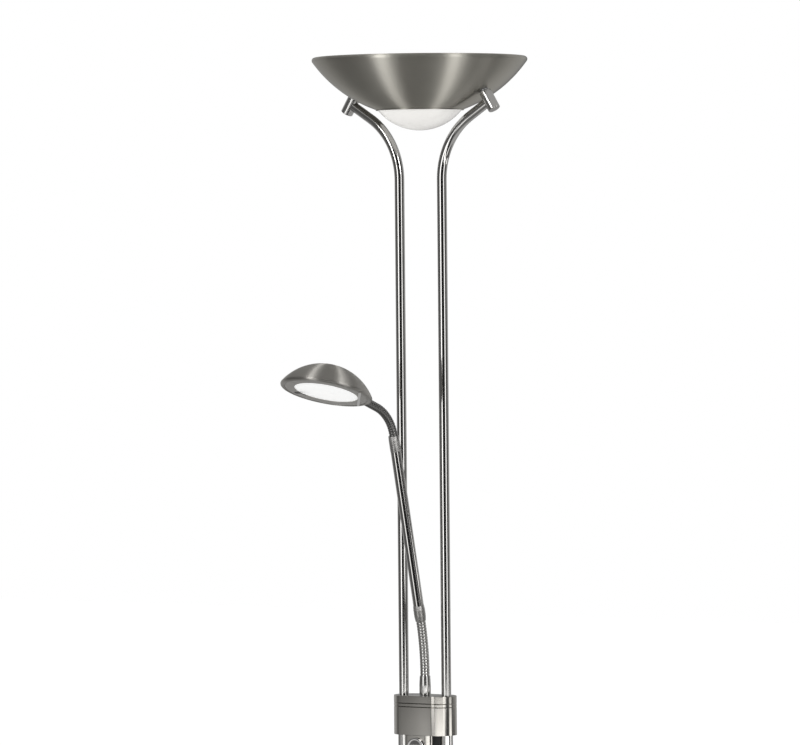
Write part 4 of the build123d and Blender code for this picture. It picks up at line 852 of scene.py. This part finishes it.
@dataclass
class BowlAndGlass:
    """The spun bowl with its rolled rim, the opal glass, and the lamp inside."""

    figures: BowlFigures
    glass_curve: float = 0.0695
    glass_drop: float = 0.0275
    glass_wall: float = 0.003
    glass_play: float = 0.0009
    glass_edge: float = 0.001
    glass_steps: int = 36
    flange: float = 0.063
    flange_thickness: float = 0.003
    seat_gap: float = 0.0003
    wall_steps: int = 48
    roll_steps: int = 20

    def bowl_profile(self) -> list[Pair]:
        """The bowl's closed section: its wall, its rolled rim and its hem."""
        bowl = self.figures
        hem_angle = asin((bowl.opening + bowl.hem) / bowl.curve)
        centre = (0.0, bowl.centre)
        low = pi - hem_angle
        rim = pi - bowl.rim_angle
        reach = bowl.curve - bowl.roll
        middle = (reach * sin(bowl.rim_angle), bowl.centre - reach * cos(bowl.rim_angle))
        outer = arc(centre, bowl.curve, low, rim, self.wall_steps)
        roll_out = arc(middle, bowl.roll, rim, rim - bowl.roll_turn, self.roll_steps)
        roll_in = arc(middle, bowl.roll - bowl.wall, rim - bowl.roll_turn, rim, self.roll_steps)
        inner = arc(centre, bowl.curve - bowl.wall, rim, low, self.wall_steps)
        hem_middle = (bowl.opening + bowl.hem, bowl.hem_height)
        hem = arc(hem_middle, bowl.hem, -hem_angle, -hem_angle - pi, self.roll_steps // 2)
        return outer[:-1] + roll_out + roll_in[:-1] + inner[:-1] + hem

    def glass_profile(self) -> list[Pair]:
        """The opal glass's section, from its underside over its flange to its inside."""
        bowl = self.figures
        neck = bowl.opening - self.glass_play
        centre = bowl.hem_height - self.glass_drop + self.glass_curve
        low = bowl.height(self.flange, bowl.curve - bowl.wall) + self.seat_gap
        high = low + self.flange_thickness
        curve = self.glass_curve - self.glass_wall
        bore = neck - self.glass_wall
        turn = pi - asin(neck / self.glass_curve)
        outside = arc((0.0, centre), self.glass_curve, pi, turn, self.glass_steps)
        shoulder = (
            (neck, outside[-1][1], 0.0),
            (neck, low, self.glass_edge),
            (self.flange, low, self.glass_edge),
            (self.flange, high, self.glass_edge),
            (bore, high, self.glass_edge),
            (bore, centre - sqrt(curve**2 - bore**2), 0.0),
        )
        inside = arc((0.0, centre), curve, pi - asin(bore / curve), pi, self.glass_steps)
        ends = ((0.0, outside[0][1]), (0.0, inside[-1][1]))
        return [ends[0], *outside[1:], *soften(shoulder, closed=False)[1:], *inside[1:-1], ends[1]]

    def build(self, finishes: Finishes) -> None:
        """Build and dress the bowl, its glass and its lamp."""
        bowl = turned_piece("bowl_spun", self.bowl_profile(), sides=256)
        finish_piece(bowl, finishes.spun_bowl, "brushed_nickel", "stand", "bowl")
        glass = turned_piece("opal_glass_dome", self.glass_profile(), sides=128)
        finish_piece(glass, finishes.opal, "opal_glass", "stand", "opal_glass")
        dress_nodes(finishes.plain_tube, "bowl_knobs")
        dress_nodes(finishes.zinc, "bowl_saddles", "bowl_studs", "stud_nuts", "lamp_bracket")
        dress_nodes(finishes.zinc, "glass_clips", "shield_carriers")
        dress_nodes(finishes.ceramic, "lampholders")
        dress_nodes(finishes.clear, "halogen_tube", "safety_glass")


@dataclass
class BentPath:
    """A path in the YZ plane: straight legs (None, length) and forward bends (radius, angle)."""

    start: Pair
    heading: float
    legs: Sequence[Leg]

    @property
    def length(self) -> float:
        """The whole path's length."""
        return sum(size if radius is None else radius * size for radius, size in self.legs)

    def at(self, distance: float) -> tuple[Vector, Vector]:
        """Where the path is at a distance from its start, and its unit direction there."""
        y, z = self.start
        heading = self.heading
        left = distance
        for radius, size in self.legs:
            step = min(left, size if radius is None else radius * size)
            if radius is None:
                y -= step * sin(heading)
                z += step * cos(heading)
            else:
                turned = heading + step / radius
                y -= radius * (cos(heading) - cos(turned))
                z += radius * (sin(turned) - sin(heading))
                heading = turned
            left -= step
            if left <= 0:
                break
        return Vector((0.0, y, z)), Vector((0.0, -sin(heading), cos(heading)))

    def points(self, begin: float, end: float, step: float = 0.0005) -> list[Vector]:
        """Points along a stretch of the path."""
        count = max(2, round((end - begin) / step))
        return [self.at(begin + (end - begin) * index / count)[0] for index in range(count + 1)]


@dataclass
class Neck:
    """One ribbed gooseneck, in two halves that meet at its middle."""

    path: BentPath
    root: float
    crest: float
    pitch: float = 0.0038
    hinge: float = 0.36
    rings_per_rib: int = 16
    sides: int = 40

    def build(self, tree: RibbedTree, material: Material, name: str, bodies: tuple[str, str, str]) -> None:
        """Build both halves.

        Args:
            tree: The Geometry Nodes tree that makes them.
            material: Their finish.
            name: The neck's name, as its CAD nodes start.
            bodies: The bodies from its foot to its end.
        """
        total = self.path.length
        middle = total / 2
        foot = (2 * self.hinge - 0.5) * total
        halves = (
            ("bottom", (0.0, middle), (self.crest, 0.0), (foot, middle), bodies[:2]),
            ("top", (middle, total), (0.0, self.crest), (middle, total - foot), bodies[1:]),
        )
        for label, (begin, end), (plain_begin, plain_end), (low, high), (first, second) in halves:
            ribs = round((end - begin - plain_begin - plain_end) / self.pitch)
            values = {
                "Root Radius": self.root,
                "Crest Radius": self.crest,
                "Rib Count": ribs,
                "Plain Begin": plain_begin,
                "Plain End": plain_end,
                "Rings": ribs * self.rings_per_rib,
                "Sides": self.sides,
                "Finish": material,
            }
            piece = tree.grow(name + "_ribbed_" + label, self.path.points(begin, end), values)
            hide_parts(name + "_" + label)
            self.path.at(low)[0]
            self.path.at(high)[0]
            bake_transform(piece)
            LOG.info("%s: %d ribs from %s to %s", piece.name, ribs, first, second)


@dataclass
class ReadingArm:
    """The socket on the collar, the two goosenecks, and the rigid arm between them."""

    collar_top: float = 0.972
    socket_height: float = 0.0245
    socket_foot: float = 0.0075
    socket_top: float = 0.0069
    lower_crest: float = 0.0062
    lower_root: float = 0.0057
    lower_rise: float = 0.072
    lean: float = radians(13.4)
    arm_length: float = 0.2488
    arm_radius: float = 0.0068
    arm_wall: float = 0.001
    ferrule_length: float = 0.021
    ferrule_lip: float = 0.00015
    swell_begin: float = 0.30
    swell_end: float = 0.72
    lower_bulge: float = 0.00755
    upper_bulge: float = 0.0071
    upper_crest: float = 0.0055
    upper_root: float = 0.005
    upper_bend: Pair = (0.046, radians(29.6))
    upper_sweep: Pair = (0.062, radians(28.2))
    upper_straight: float = 0.0438

    def lower_path(self) -> BentPath:
        """The lower neck's path, from inside the socket to inside the ferrule."""
        inside = 2 * self.lower_crest
        bend = self.lower_rise / sin(self.lean)
        start = (0.0, self.collar_top + self.socket_height - inside)
        return BentPath(start, 0.0, ((None, inside), (bend, self.lean), (None, inside)))

    def arm_ends(self) -> tuple[Vector, Vector, Vector]:
        """The arm's lower mouth, its upper mouth, and its direction."""
        path = self.lower_path()
        mouth, heading = path.at(path.length - 2 * self.lower_crest)
        return mouth, mouth + heading * self.arm_length, heading

    def upper_path(self) -> BentPath:
        """The upper neck's path, from inside its ferrule to inside the head's socket."""
        inside = 2 * self.upper_crest
        _, top, heading = self.arm_ends()
        start = top - heading * inside
        legs = ((None, inside), self.upper_bend, self.upper_sweep, (None, self.upper_straight + inside))
        return BentPath((start.y, start.z), self.lean, legs)

    def socket_profile(self) -> list[Pair]:
        """The socket's section: a plain foot that draws in to its mouth."""
        floor = self.socket_height * SOCKET_DEPTH
        corners = (
            (0.0, 0.0, 0.0),
            (self.socket_foot, 0.0, 0.0002),
            (self.socket_foot, self.socket_height * 0.5, 0.004),
            (self.socket_top, self.socket_height, 0.0006),
            (self.lower_crest, self.socket_height, 0.0002),
            (self.lower_crest, floor, 0.0),
            (0.0, floor, 0.0),
        )
        return soften(corners, closed=False)

    def ferrule_profile(self, bulge: float, bore: float) -> list[Pair]:
        """A ferrule's section: a rounded mouth, a soft swelling, and the step to the tube."""
        length = self.ferrule_length
        corners = (
            (bore, 0.0, 0.0002),
            (self.arm_radius, 0.0, 0.0005),
            (bulge, length * self.swell_begin, 0.005),
            (bulge, length * self.swell_end, 0.003),
            (self.arm_radius + self.ferrule_lip, length, 0.0003),
            (bore, length, 0.0),
        )
        return soften(corners)

    def build(self, finishes: Finishes, tree: RibbedTree) -> None:
        """Build and dress the arm."""
        foot = axis_frame(Vector((0, 0, self.collar_top)), Vector((0, 0, 1)))
        socket = turned_piece("arm_socket_turned", self.socket_profile(), foot, sides=64)
        finish_piece(socket, finishes.plain_tube, "satin_nickel", "stand", "arm_socket")
        mouth, top, heading = self.arm_ends()
        ferrules = (
            ("lower", mouth, heading, self.lower_bulge, self.lower_crest),
            ("upper", top, -heading, self.upper_bulge, self.upper_crest),
        )
        for name, place, direction, bulge, bore in ferrules:
            profile = self.ferrule_profile(bulge, bore)
            ferrule = turned_piece("arm_ferrule_" + name, profile, axis_frame(place, direction), sides=64)
            finish_piece(ferrule, finishes.ferrule, "satin_nickel", "arm", "arm_" + name + "_ferrule")
        low, high = mouth + heading * self.ferrule_length, top - heading * self.ferrule_length
        path = [low, low.lerp(high, 0.5), high]
        tube = swept_tube("arm_tube_rigid", path, self.arm_radius, self.arm_wall, Vector((1, 0, 0)), 0.0001)
        finish_piece(tube, finishes.tube, "satin_nickel", "arm", "arm_tube")
        lower = Neck(self.lower_path(), self.lower_root, self.lower_crest)
        lower.build(tree, finishes.plain_tube, "lower_gooseneck", ("stand", "lower_neck", "arm"))
        upper = Neck(self.upper_path(), self.upper_root, self.upper_crest)
        # Painted shade: the upper neck gets a darkened copy of the lower neck's nickel.
        upper.build(tree, finishes.dark_neck, "upper_gooseneck", ("arm", "upper_neck", "head"))


@dataclass
class ReadingHead:
    """The reading light's shade, ring, glass and clips."""

    radius: float = 0.0592
    curve: float = 0.0693
    wall: float = 0.001
    roll: float = 0.0023
    lip: float = 0.0035
    ring_gap: float = 0.0001
    ring_play: float = 0.0003
    ring_opening: float = 0.041
    ring_thickness: float = 0.001
    disc_radius: float = 0.0445
    disc_thickness: float = 0.0025
    disc_edge: float = 0.0005
    neck_height: float = 0.0154
    neck_reach: float = 0.0685
    socket_radius: float = 0.0069
    neck_radius: float = 0.0055
    spring_width: float = 0.0045
    spring_thickness: float = 0.0005
    spring_foot: float = 0.007
    spring_reach: float = 0.010
    spring_drop: float = 0.0024
    spring_gap: float = 0.00005
    spring_taper: float = 0.35
    spring_curl: float = 1.3
    spring_steps: int = 18
    wall_steps: int = 40
    roll_steps: int = 14

    placing: Matrix = field(init=False)

    def __post_init__(self) -> None:
        """Work out the head's own frame: X, back towards the neck, and up out of the dome."""
        up = Vector((0.0, sin(HEAD_TILT), cos(HEAD_TILT)))
        self.placing = axis_frame(Vector(HEAD_PLACE), up)

    @property
    def dome_angle(self) -> float:
        """The dome's angle from its axis where the edge's roll starts."""
        return asin((self.radius - self.roll) / (self.curve - self.roll))

    @property
    def dome_centre(self) -> float:
        """Height of the dome's centre of curvature above the underside."""
        return self.roll - (self.curve - self.roll) * cos(self.dome_angle)

    def shade_profile(self) -> list[Pair]:
        """The shade's section, from its crown round its edge to its inside."""
        centre = (0.0, self.dome_centre)
        edge = (self.radius - self.roll, self.roll)
        lip_radius = edge[0] - self.lip
        outer = arc(centre, self.curve, 0.0, self.dome_angle, self.wall_steps)
        roll_out = arc(edge, self.roll, self.dome_angle, pi, self.roll_steps)
        lip = [(lip_radius, 0.0), (lip_radius, self.wall)]
        roll_in = arc(edge, self.roll - self.wall, pi, self.dome_angle, self.roll_steps)
        inner = arc(centre, self.curve - self.wall, self.dome_angle, 0.0, self.wall_steps)
        return outer[:-1] + roll_out + lip + roll_in[:-1] + inner

    def ring_profile(self) -> list[Pair]:
        """The ring's section, with a soft lip round its opening."""
        outer = self.radius - self.roll - self.lip - self.ring_play
        inner = self.ring_opening
        low = self.ring_gap
        high = low + self.ring_thickness
        inside, outside = 0.0004, 0.0003
        begin = [(inner, low, inside), (outer, low, outside)]
        return soften(begin + [(outer, high, outside), (inner, high, inside)])

    def disc_profile(self) -> list[Pair]:
        """The frosted disc's section."""
        low = 2 * self.ring_gap + self.ring_thickness
        high = low + self.disc_thickness
        edge = [(self.disc_radius, height, self.disc_edge) for height in (low, high)]
        return soften([(0.0, low, 0.0), *edge, (0.0, high, 0.0)], closed=False)

    def socket_piece(self) -> Object:
        """The socket that the neck's end goes into, drawn in to its mouth."""
        inner = self.curve - self.wall
        gap = self.neck_height + self.socket_radius - self.dome_centre
        root = sqrt(inner**2 - gap**2)
        length = self.neck_reach - root
        corners = (
            (0.0, 0.0, 0.0),
            (self.socket_radius, 0.0, 0.0),
            (self.socket_radius, length, 0.0008),
            (self.neck_radius, length, 0.0002),
            (self.neck_radius, length * SOCKET_DEPTH, 0.0),
            (0.0, length * SOCKET_DEPTH, 0.0),
        )
        origin = self.placing @ Vector((0.0, root, self.neck_height))
        back = self.placing.to_3x3() @ Vector((0, 1, 0))
        profile = soften(corners, closed=False)
        return turned_piece("head_socket_turned", profile, axis_frame(origin, back), sides=64)

    def spring_piece(self) -> Object:
        """The bent strip of spring steel that keeps the disc in its ring."""
        half = self.spring_width / 2
        start = -self.ring_opening - self.spring_foot
        rows = []
        for step in range(self.spring_steps + 1):
            share = step / self.spring_steps
            across = start + (self.spring_foot + self.spring_reach) * share
            bend = max(0.0, (across + self.ring_opening) / self.spring_reach)
            level = -self.spring_gap - self.spring_drop * sin(bend * pi / 2) ** self.spring_curl
            width = half * (1.0 - self.spring_taper * share)
            under = level - self.spring_thickness
            corners = ((width, level), (-width, level), (-width, under), (width, under))
            rows.append([self.placing @ Vector((across, side, height)) for side, height in corners])
        first, last = (sum(row, Vector()) / 4 for row in (rows[0], rows[-1]))
        return skin_rows("disc_spring_bent", [[first]] + rows + [[last]], looped=False)

    def build(self, finishes: Finishes) -> None:
        """Build and dress the head."""
        shade = turned_piece("reading_shade_spun", self.shade_profile(), self.placing, sides=160)
        finish_piece(shade, finishes.spun_shade, "brushed_nickel", "head", "reading_shade")
        ring = turned_piece("reading_ring_pressed", self.ring_profile(), self.placing, sides=128)
        finish_piece(ring, finishes.ring, "ring_grey", "head", "reading_ring")
        disc = turned_piece("frosted_disc_round", self.disc_profile(), self.placing, sides=128)
        finish_piece(disc, finishes.frosted, "frosted_glass", "head", "frosted_disc")
        finish_piece(self.socket_piece(), finishes.plain_tube, "satin_nickel", "head", "head_socket")
        finish_piece(self.spring_piece(), finishes.spring, "spring_steel", "head", "disc_spring")
        dress_nodes(finishes.polished, "retaining_strip")
        dress_nodes(finishes.zinc, "head_seat", "head_nut", "head_bracket")
        dress_nodes(finishes.reflector, "reading_reflector")
        dress_nodes(finishes.ceramic, "reading_lampholder")
        dress_nodes(finishes.clear, "capsule_bulb")


# ---- The studio ------------------------------------------------------------------------------------
@dataclass(frozen=True)
class Panel:
    """A bright or dark stretch of the studio's wall, by its bearing from the camera's own."""

    bearing: float
    half_width: float
    low: float
    high: float
    level: float
    softness: float = 4.0
    edge: float = 0.08


@dataclass(frozen=True)
class Strip:
    """A tall lamp before the wall, which only reflections see."""

    name: str
    bearing: float
    half_width: float
    low: float
    high: float
    level: float


BELT_LOW = 0.3
BELT_TOP = 0.74
BELT_EDGE = 0.005
PANELS = (
    Panel(128.0, 28.0, -1.0, 3.2, 0.62, 14.0),
    Panel(-150.0, 24.0, -1.0, 3.2, 0.55, 14.0),
    Panel(-82.0, 26.0, -1.0, 3.2, 0.16, 12.0),
    Panel(84.0, 14.0, -1.0, 3.2, 0.14, 8.0),
    Panel(0.0, 30.0, -1.0, 3.2, 0.03, 6.0),
    Panel(-38.0, 9.0, -1.0, 0.02, 2.2, 2.0, 0.01),
    Panel(40.0, 8.0, -1.0, 0.02, 1.8, 2.0, 0.01),
    Panel(-76.0, 24.0, BELT_LOW, BELT_TOP, 0.42, 10.0, BELT_EDGE),
    Panel(-2.0, 44.0, BELT_LOW, BELT_TOP, 2.0, 38.0, BELT_EDGE),
    Panel(-44.0, 14.0, BELT_LOW, BELT_TOP, 0.45, 8.0, BELT_EDGE),
    Panel(14.0, 24.0, BELT_LOW, BELT_TOP, 3.0, 16.0, BELT_EDGE),
    Panel(56.0, 14.0, BELT_LOW, BELT_TOP, 0.08, 4.0, BELT_EDGE),
    Panel(81.0, 8.0, BELT_LOW, BELT_TOP, 3.0, 3.0, BELT_EDGE),
    Panel(108.0, 14.0, BELT_LOW, BELT_TOP, 0.2, 6.0, BELT_EDGE),
)
STRIPS = (
    Strip("strip_left", -40.0, 11.0, BELT_TOP, 2.1, 2.7),
    Strip("strip_right", 42.0, 9.0, BELT_TOP, 2.1, 2.3),
    Strip("strip_left_high", -43.0, 5.5, 2.1, 3.3, 10.0),
    Strip("strip_right_high", 38.0, 5.5, 2.1, 3.3, 10.0),
)


@dataclass
class Studio:
    """The floor, the wall that the metal reflects, the lamps, the world and the camera."""

    azimuth: float = radians(34.892)
    distance: float = 7.4138
    camera_height: float = 1.5163
    pan: float = radians(-0.2235)
    pitch: float = radians(-0.9688)
    roll: float = radians(-0.5206)
    lens: float = 256.99
    floor_size: float = 30.0
    floor_drop: float = 0.0004
    floor_glow: float = 0.35
    wall_radius: float = 3.0
    wall_height: float = 3.4
    wall_level: float = 0.22
    plain_floor: float = 1.7
    floor_fade: float = 0.5
    floor_left: float = 0.42
    floor_right: float = 0.7
    floor_turn: float = 0.9
    ceiling_low: float = 2.9
    ceiling_level: float = 0.6
    world_level: float = 0.75
    strip_radius: float = 2.9
    lamp_size: float = 3.0
    lamp_aim: float = 1.2

    def toward(self, bearing: float) -> Vector:
        """The level direction at a bearing in degrees from the camera's own."""
        angle = self.azimuth + radians(bearing)
        return Vector((sin(angle), -cos(angle), 0.0))

    def panel_mask(self, tree: Tree, panel: Panel, place: Sequence[NodeSocket]) -> NodeSocket:
        """How much of a panel shows at a place (x, y, z, distance from the axis), from 0 to 1."""
        x, y, z, flat = place
        way = self.toward(panel.bearing)
        reach = tree.math("ADD", tree.math("MULTIPLY", x, way.x), tree.math("MULTIPLY", y, way.y))
        far = cos(radians(panel.half_width + panel.softness))
        near = cos(radians(max(0.0, panel.half_width - panel.softness)))
        mask = tree.ramp(tree.math("DIVIDE", reach, flat), far, near, 0.0, 1.0)
        rise = tree.ramp(z, panel.low - panel.edge, panel.low + panel.edge, 0.0, 1.0)
        fall = tree.ramp(z, panel.high - panel.edge, panel.high + panel.edge, 1.0, 0.0)
        return tree.math("MULTIPLY", mask, tree.math("MULTIPLY", rise, fall))

    def wall_material(self) -> Material:
        """The wall's light, by bearing and height."""
        material, tree = new_material("StudioWall")
        tree.tree.nodes.clear()
        source = tree.add("ShaderNodeTexCoord").outputs["Object"]
        x, y, z = tree.add("ShaderNodeSeparateXYZ", {0: source}).outputs
        flat = tree.math("SQRT", tree.math("ADD", tree.math("POWER", x, 2.0), tree.math("POWER", y, 2.0)))
        aside = tree.math("MULTIPLY", x, cos(self.azimuth))
        aside = tree.math("ADD", aside, tree.math("MULTIPLY", y, sin(self.azimuth)))
        fade_end = self.plain_floor + self.floor_fade
        level = tree.ramp(aside, -self.floor_turn, 0.0, self.floor_left, self.wall_level)
        level = tree.ramp(aside, 0.0, self.floor_turn, level, self.floor_right)
        level = tree.ramp(flat, self.plain_floor, fade_end, level, self.wall_level)
        level = tree.ramp(z, self.ceiling_low, self.wall_height, level, self.ceiling_level)
        outward = tree.ramp(flat, self.plain_floor, fade_end, 0.0, 1.0)
        for panel in PANELS:
            mask = tree.math("MULTIPLY", self.panel_mask(tree, panel, (x, y, z, flat)), outward)
            blend = {0: mask, 2: level, 3: panel.level}
            level = tree.add("ShaderNodeMix", blend, data_type="FLOAT").outputs[0]
        light = tree.add("ShaderNodeEmission", {"Color": (1.0, 0.995, 0.985, 1.0), "Strength": level})
        tree.add("ShaderNodeOutputMaterial", {"Surface": light.outputs[0]})
        material.cycles.emission_sampling = "NONE"
        return material

    def build_wall(self) -> None:
        """The round wall, which only reflections see."""
        foot = -self.floor_drop / 2
        radius, height = self.wall_radius, self.wall_height
        profile = [(0.0, foot), (radius, foot), (radius, height), (0.0, height)]
        wall = turned_piece("studio_wall", profile, sides=128)
        wall.data.materials.append(self.wall_material())
        hide(wall, "camera", "diffuse", "transmission", "shadow")

    def seen_rays(self, tree: Tree) -> NodeSocket:
        """1 where the camera, a reflection or a pane of glass looks, and 0 for soft light."""
        path = tree.add("ShaderNodeLightPath").outputs
        seen = tree.math("MAXIMUM", path["Is Camera Ray"], path["Is Glossy Ray"])
        return tree.math("MAXIMUM", seen, path["Is Transmission Ray"])

    def floor_material(self) -> Material:
        """Pale, white to the camera but for the lamp's shadow, and clear from below."""
        material, tree = new_material("PaleFloor")
        shader = tree.tree.nodes["Principled BSDF"]
        inputs = {
            "Base Color": (0.9, 0.9, 0.9, 1.0),
            "Roughness": 0.9,
            "Specular IOR Level": 0.1,
            "Emission Color": (1.0, 1.0, 1.0, 1.0),
            "Emission Strength": tree.math("MULTIPLY", self.seen_rays(tree), self.floor_glow),
        }
        tree.feed(shader, inputs)
        below = tree.add("ShaderNodeNewGeometry").outputs["Backfacing"]
        clear = tree.add("ShaderNodeBsdfTransparent").outputs[0]
        sided = tree.add("ShaderNodeMixShader", {0: below, 1: shader.outputs[0], 2: clear})
        tree.feed(tree.tree.nodes["Material Output"], {"Surface": sided.outputs[0]})
        return material

    def build_floor(self) -> None:
        """The floor, a little under the lamp's own."""
        half = self.floor_size / 2
        mesh = bpy.data.meshes.new("studio_floor")
        sides = ((-half, -half), (half, -half), (half, half), (-half, half))
        mesh.from_pydata([(x, y, -self.floor_drop) for x, y in sides], [], [(0, 1, 2, 3)])
        mesh.materials.append(self.floor_material())
        floor = put("studio_floor", mesh)

    def build_world(self) -> None:
        """White where the camera, a reflection or a pane of glass looks, softer as a light."""
        world = bpy.data.worlds.new("StudioWorld")
        bpy.context.scene.world = world
        world.use_nodes = True
        world.node_tree.nodes.clear()
        tree = Tree(world.node_tree)
        strength = tree.ramp(self.seen_rays(tree), 0.0, 1.0, self.world_level, 1.0)
        background = tree.add("ShaderNodeBackground", {"Color": (1.0, 1.0, 1.0, 1.0), "Strength": strength})
        tree.add("ShaderNodeOutputWorld", {"Surface": background.outputs[0]})

    def hang(self, name: str, place: Vector, facing: Vector, size: Pair, power: float) -> Object:
        """A rectangular lamp at a place, facing a way."""
        light = bpy.data.lights.new(name, "AREA")
        light.shape = "RECTANGLE"
        light.size, light.size_y = size
        light.energy = power
        lamp = put(name, light)
        turn = facing.to_track_quat("-Z", "Y").to_matrix().to_4x4()
        lamp.matrix_world = Matrix.Translation(place) @ turn
        return lamp

    def build_lamps(self) -> None:
        """Two large soft lamps, which light the glass, the plastics and the floor."""
        size = (self.lamp_size, self.lamp_size)
        for name, place, power in (("key", (-2.4, -3.0, 3.4), 70.0), ("fill", (3.2, -1.6, 2.4), 32.0)):
            facing = Vector((0, 0, self.lamp_aim)) - Vector(place)
            hide(self.hang(name, Vector(place), facing, size, power), "camera", "glossy")

    def build_strips(self) -> None:
        """Stand the strip lights before the wall, facing the lamp."""
        for strip in STRIPS:
            width = 2 * self.strip_radius * sin(radians(strip.half_width))
            height = strip.high - strip.low
            outward = self.toward(strip.bearing)
            place = outward * self.strip_radius + Vector((0.0, 0.0, (strip.low + strip.high) / 2))
            power = strip.level * width * height * pi
            lamp = self.hang(strip.name, place, -outward, (width, height), power)
            hide(lamp, "camera", "diffuse", "transmission")

    def build_camera(self) -> None:
        """The camera at the photograph's angle, panned, pitched and rolled as it was."""
        data = bpy.data.cameras.new("camera")
        data.lens = self.lens
        data.sensor_width = 36.0
        data.clip_end = 100.0
        camera = put("camera", data)
        ahead = -self.toward(0.0)
        right = -self.toward(-90.0)
        up = Vector((0.0, 0.0, 1.0))
        turned = ahead * cos(self.pan) + right * sin(self.pan)
        right = right * cos(self.pan) - ahead * sin(self.pan)
        gaze = turned * cos(self.pitch) + up * sin(self.pitch)
        top = up * cos(self.pitch) - turned * sin(self.pitch)
        side = right * cos(self.roll) + top * sin(self.roll)
        top = top * cos(self.roll) - right * sin(self.roll)
        place = Vector((0.0, 0.0, self.camera_height)) - ahead * self.distance
        turn = Matrix((side, top, -gaze)).transposed()
        camera.matrix_world = Matrix.Translation(place) @ turn.to_4x4()
        bpy.context.scene.camera = camera

    def build(self) -> None:
        """Set up the whole studio."""
        bpy.context.scene.view_settings.view_transform = "Standard"
        self.build_floor()
        self.build_wall()
        self.build_world()
        self.build_lamps()
        self.build_strips()
        self.build_camera()


def main() -> None:
    """Build the lamp and its studio."""
    finishes = Finishes()
    ribs = RibbedTree()
    figures = BowlFigures()
    WeightedBase().build(finishes)
    Poles(figures).build(finishes)
    CollarAndControls().build(finishes)
    BowlAndGlass(figures).build(finishes)
    ReadingArm().build(finishes, ribs)
    ReadingHead().build(finishes)
    Studio().build()


if __name__ == "__main__":
    main()
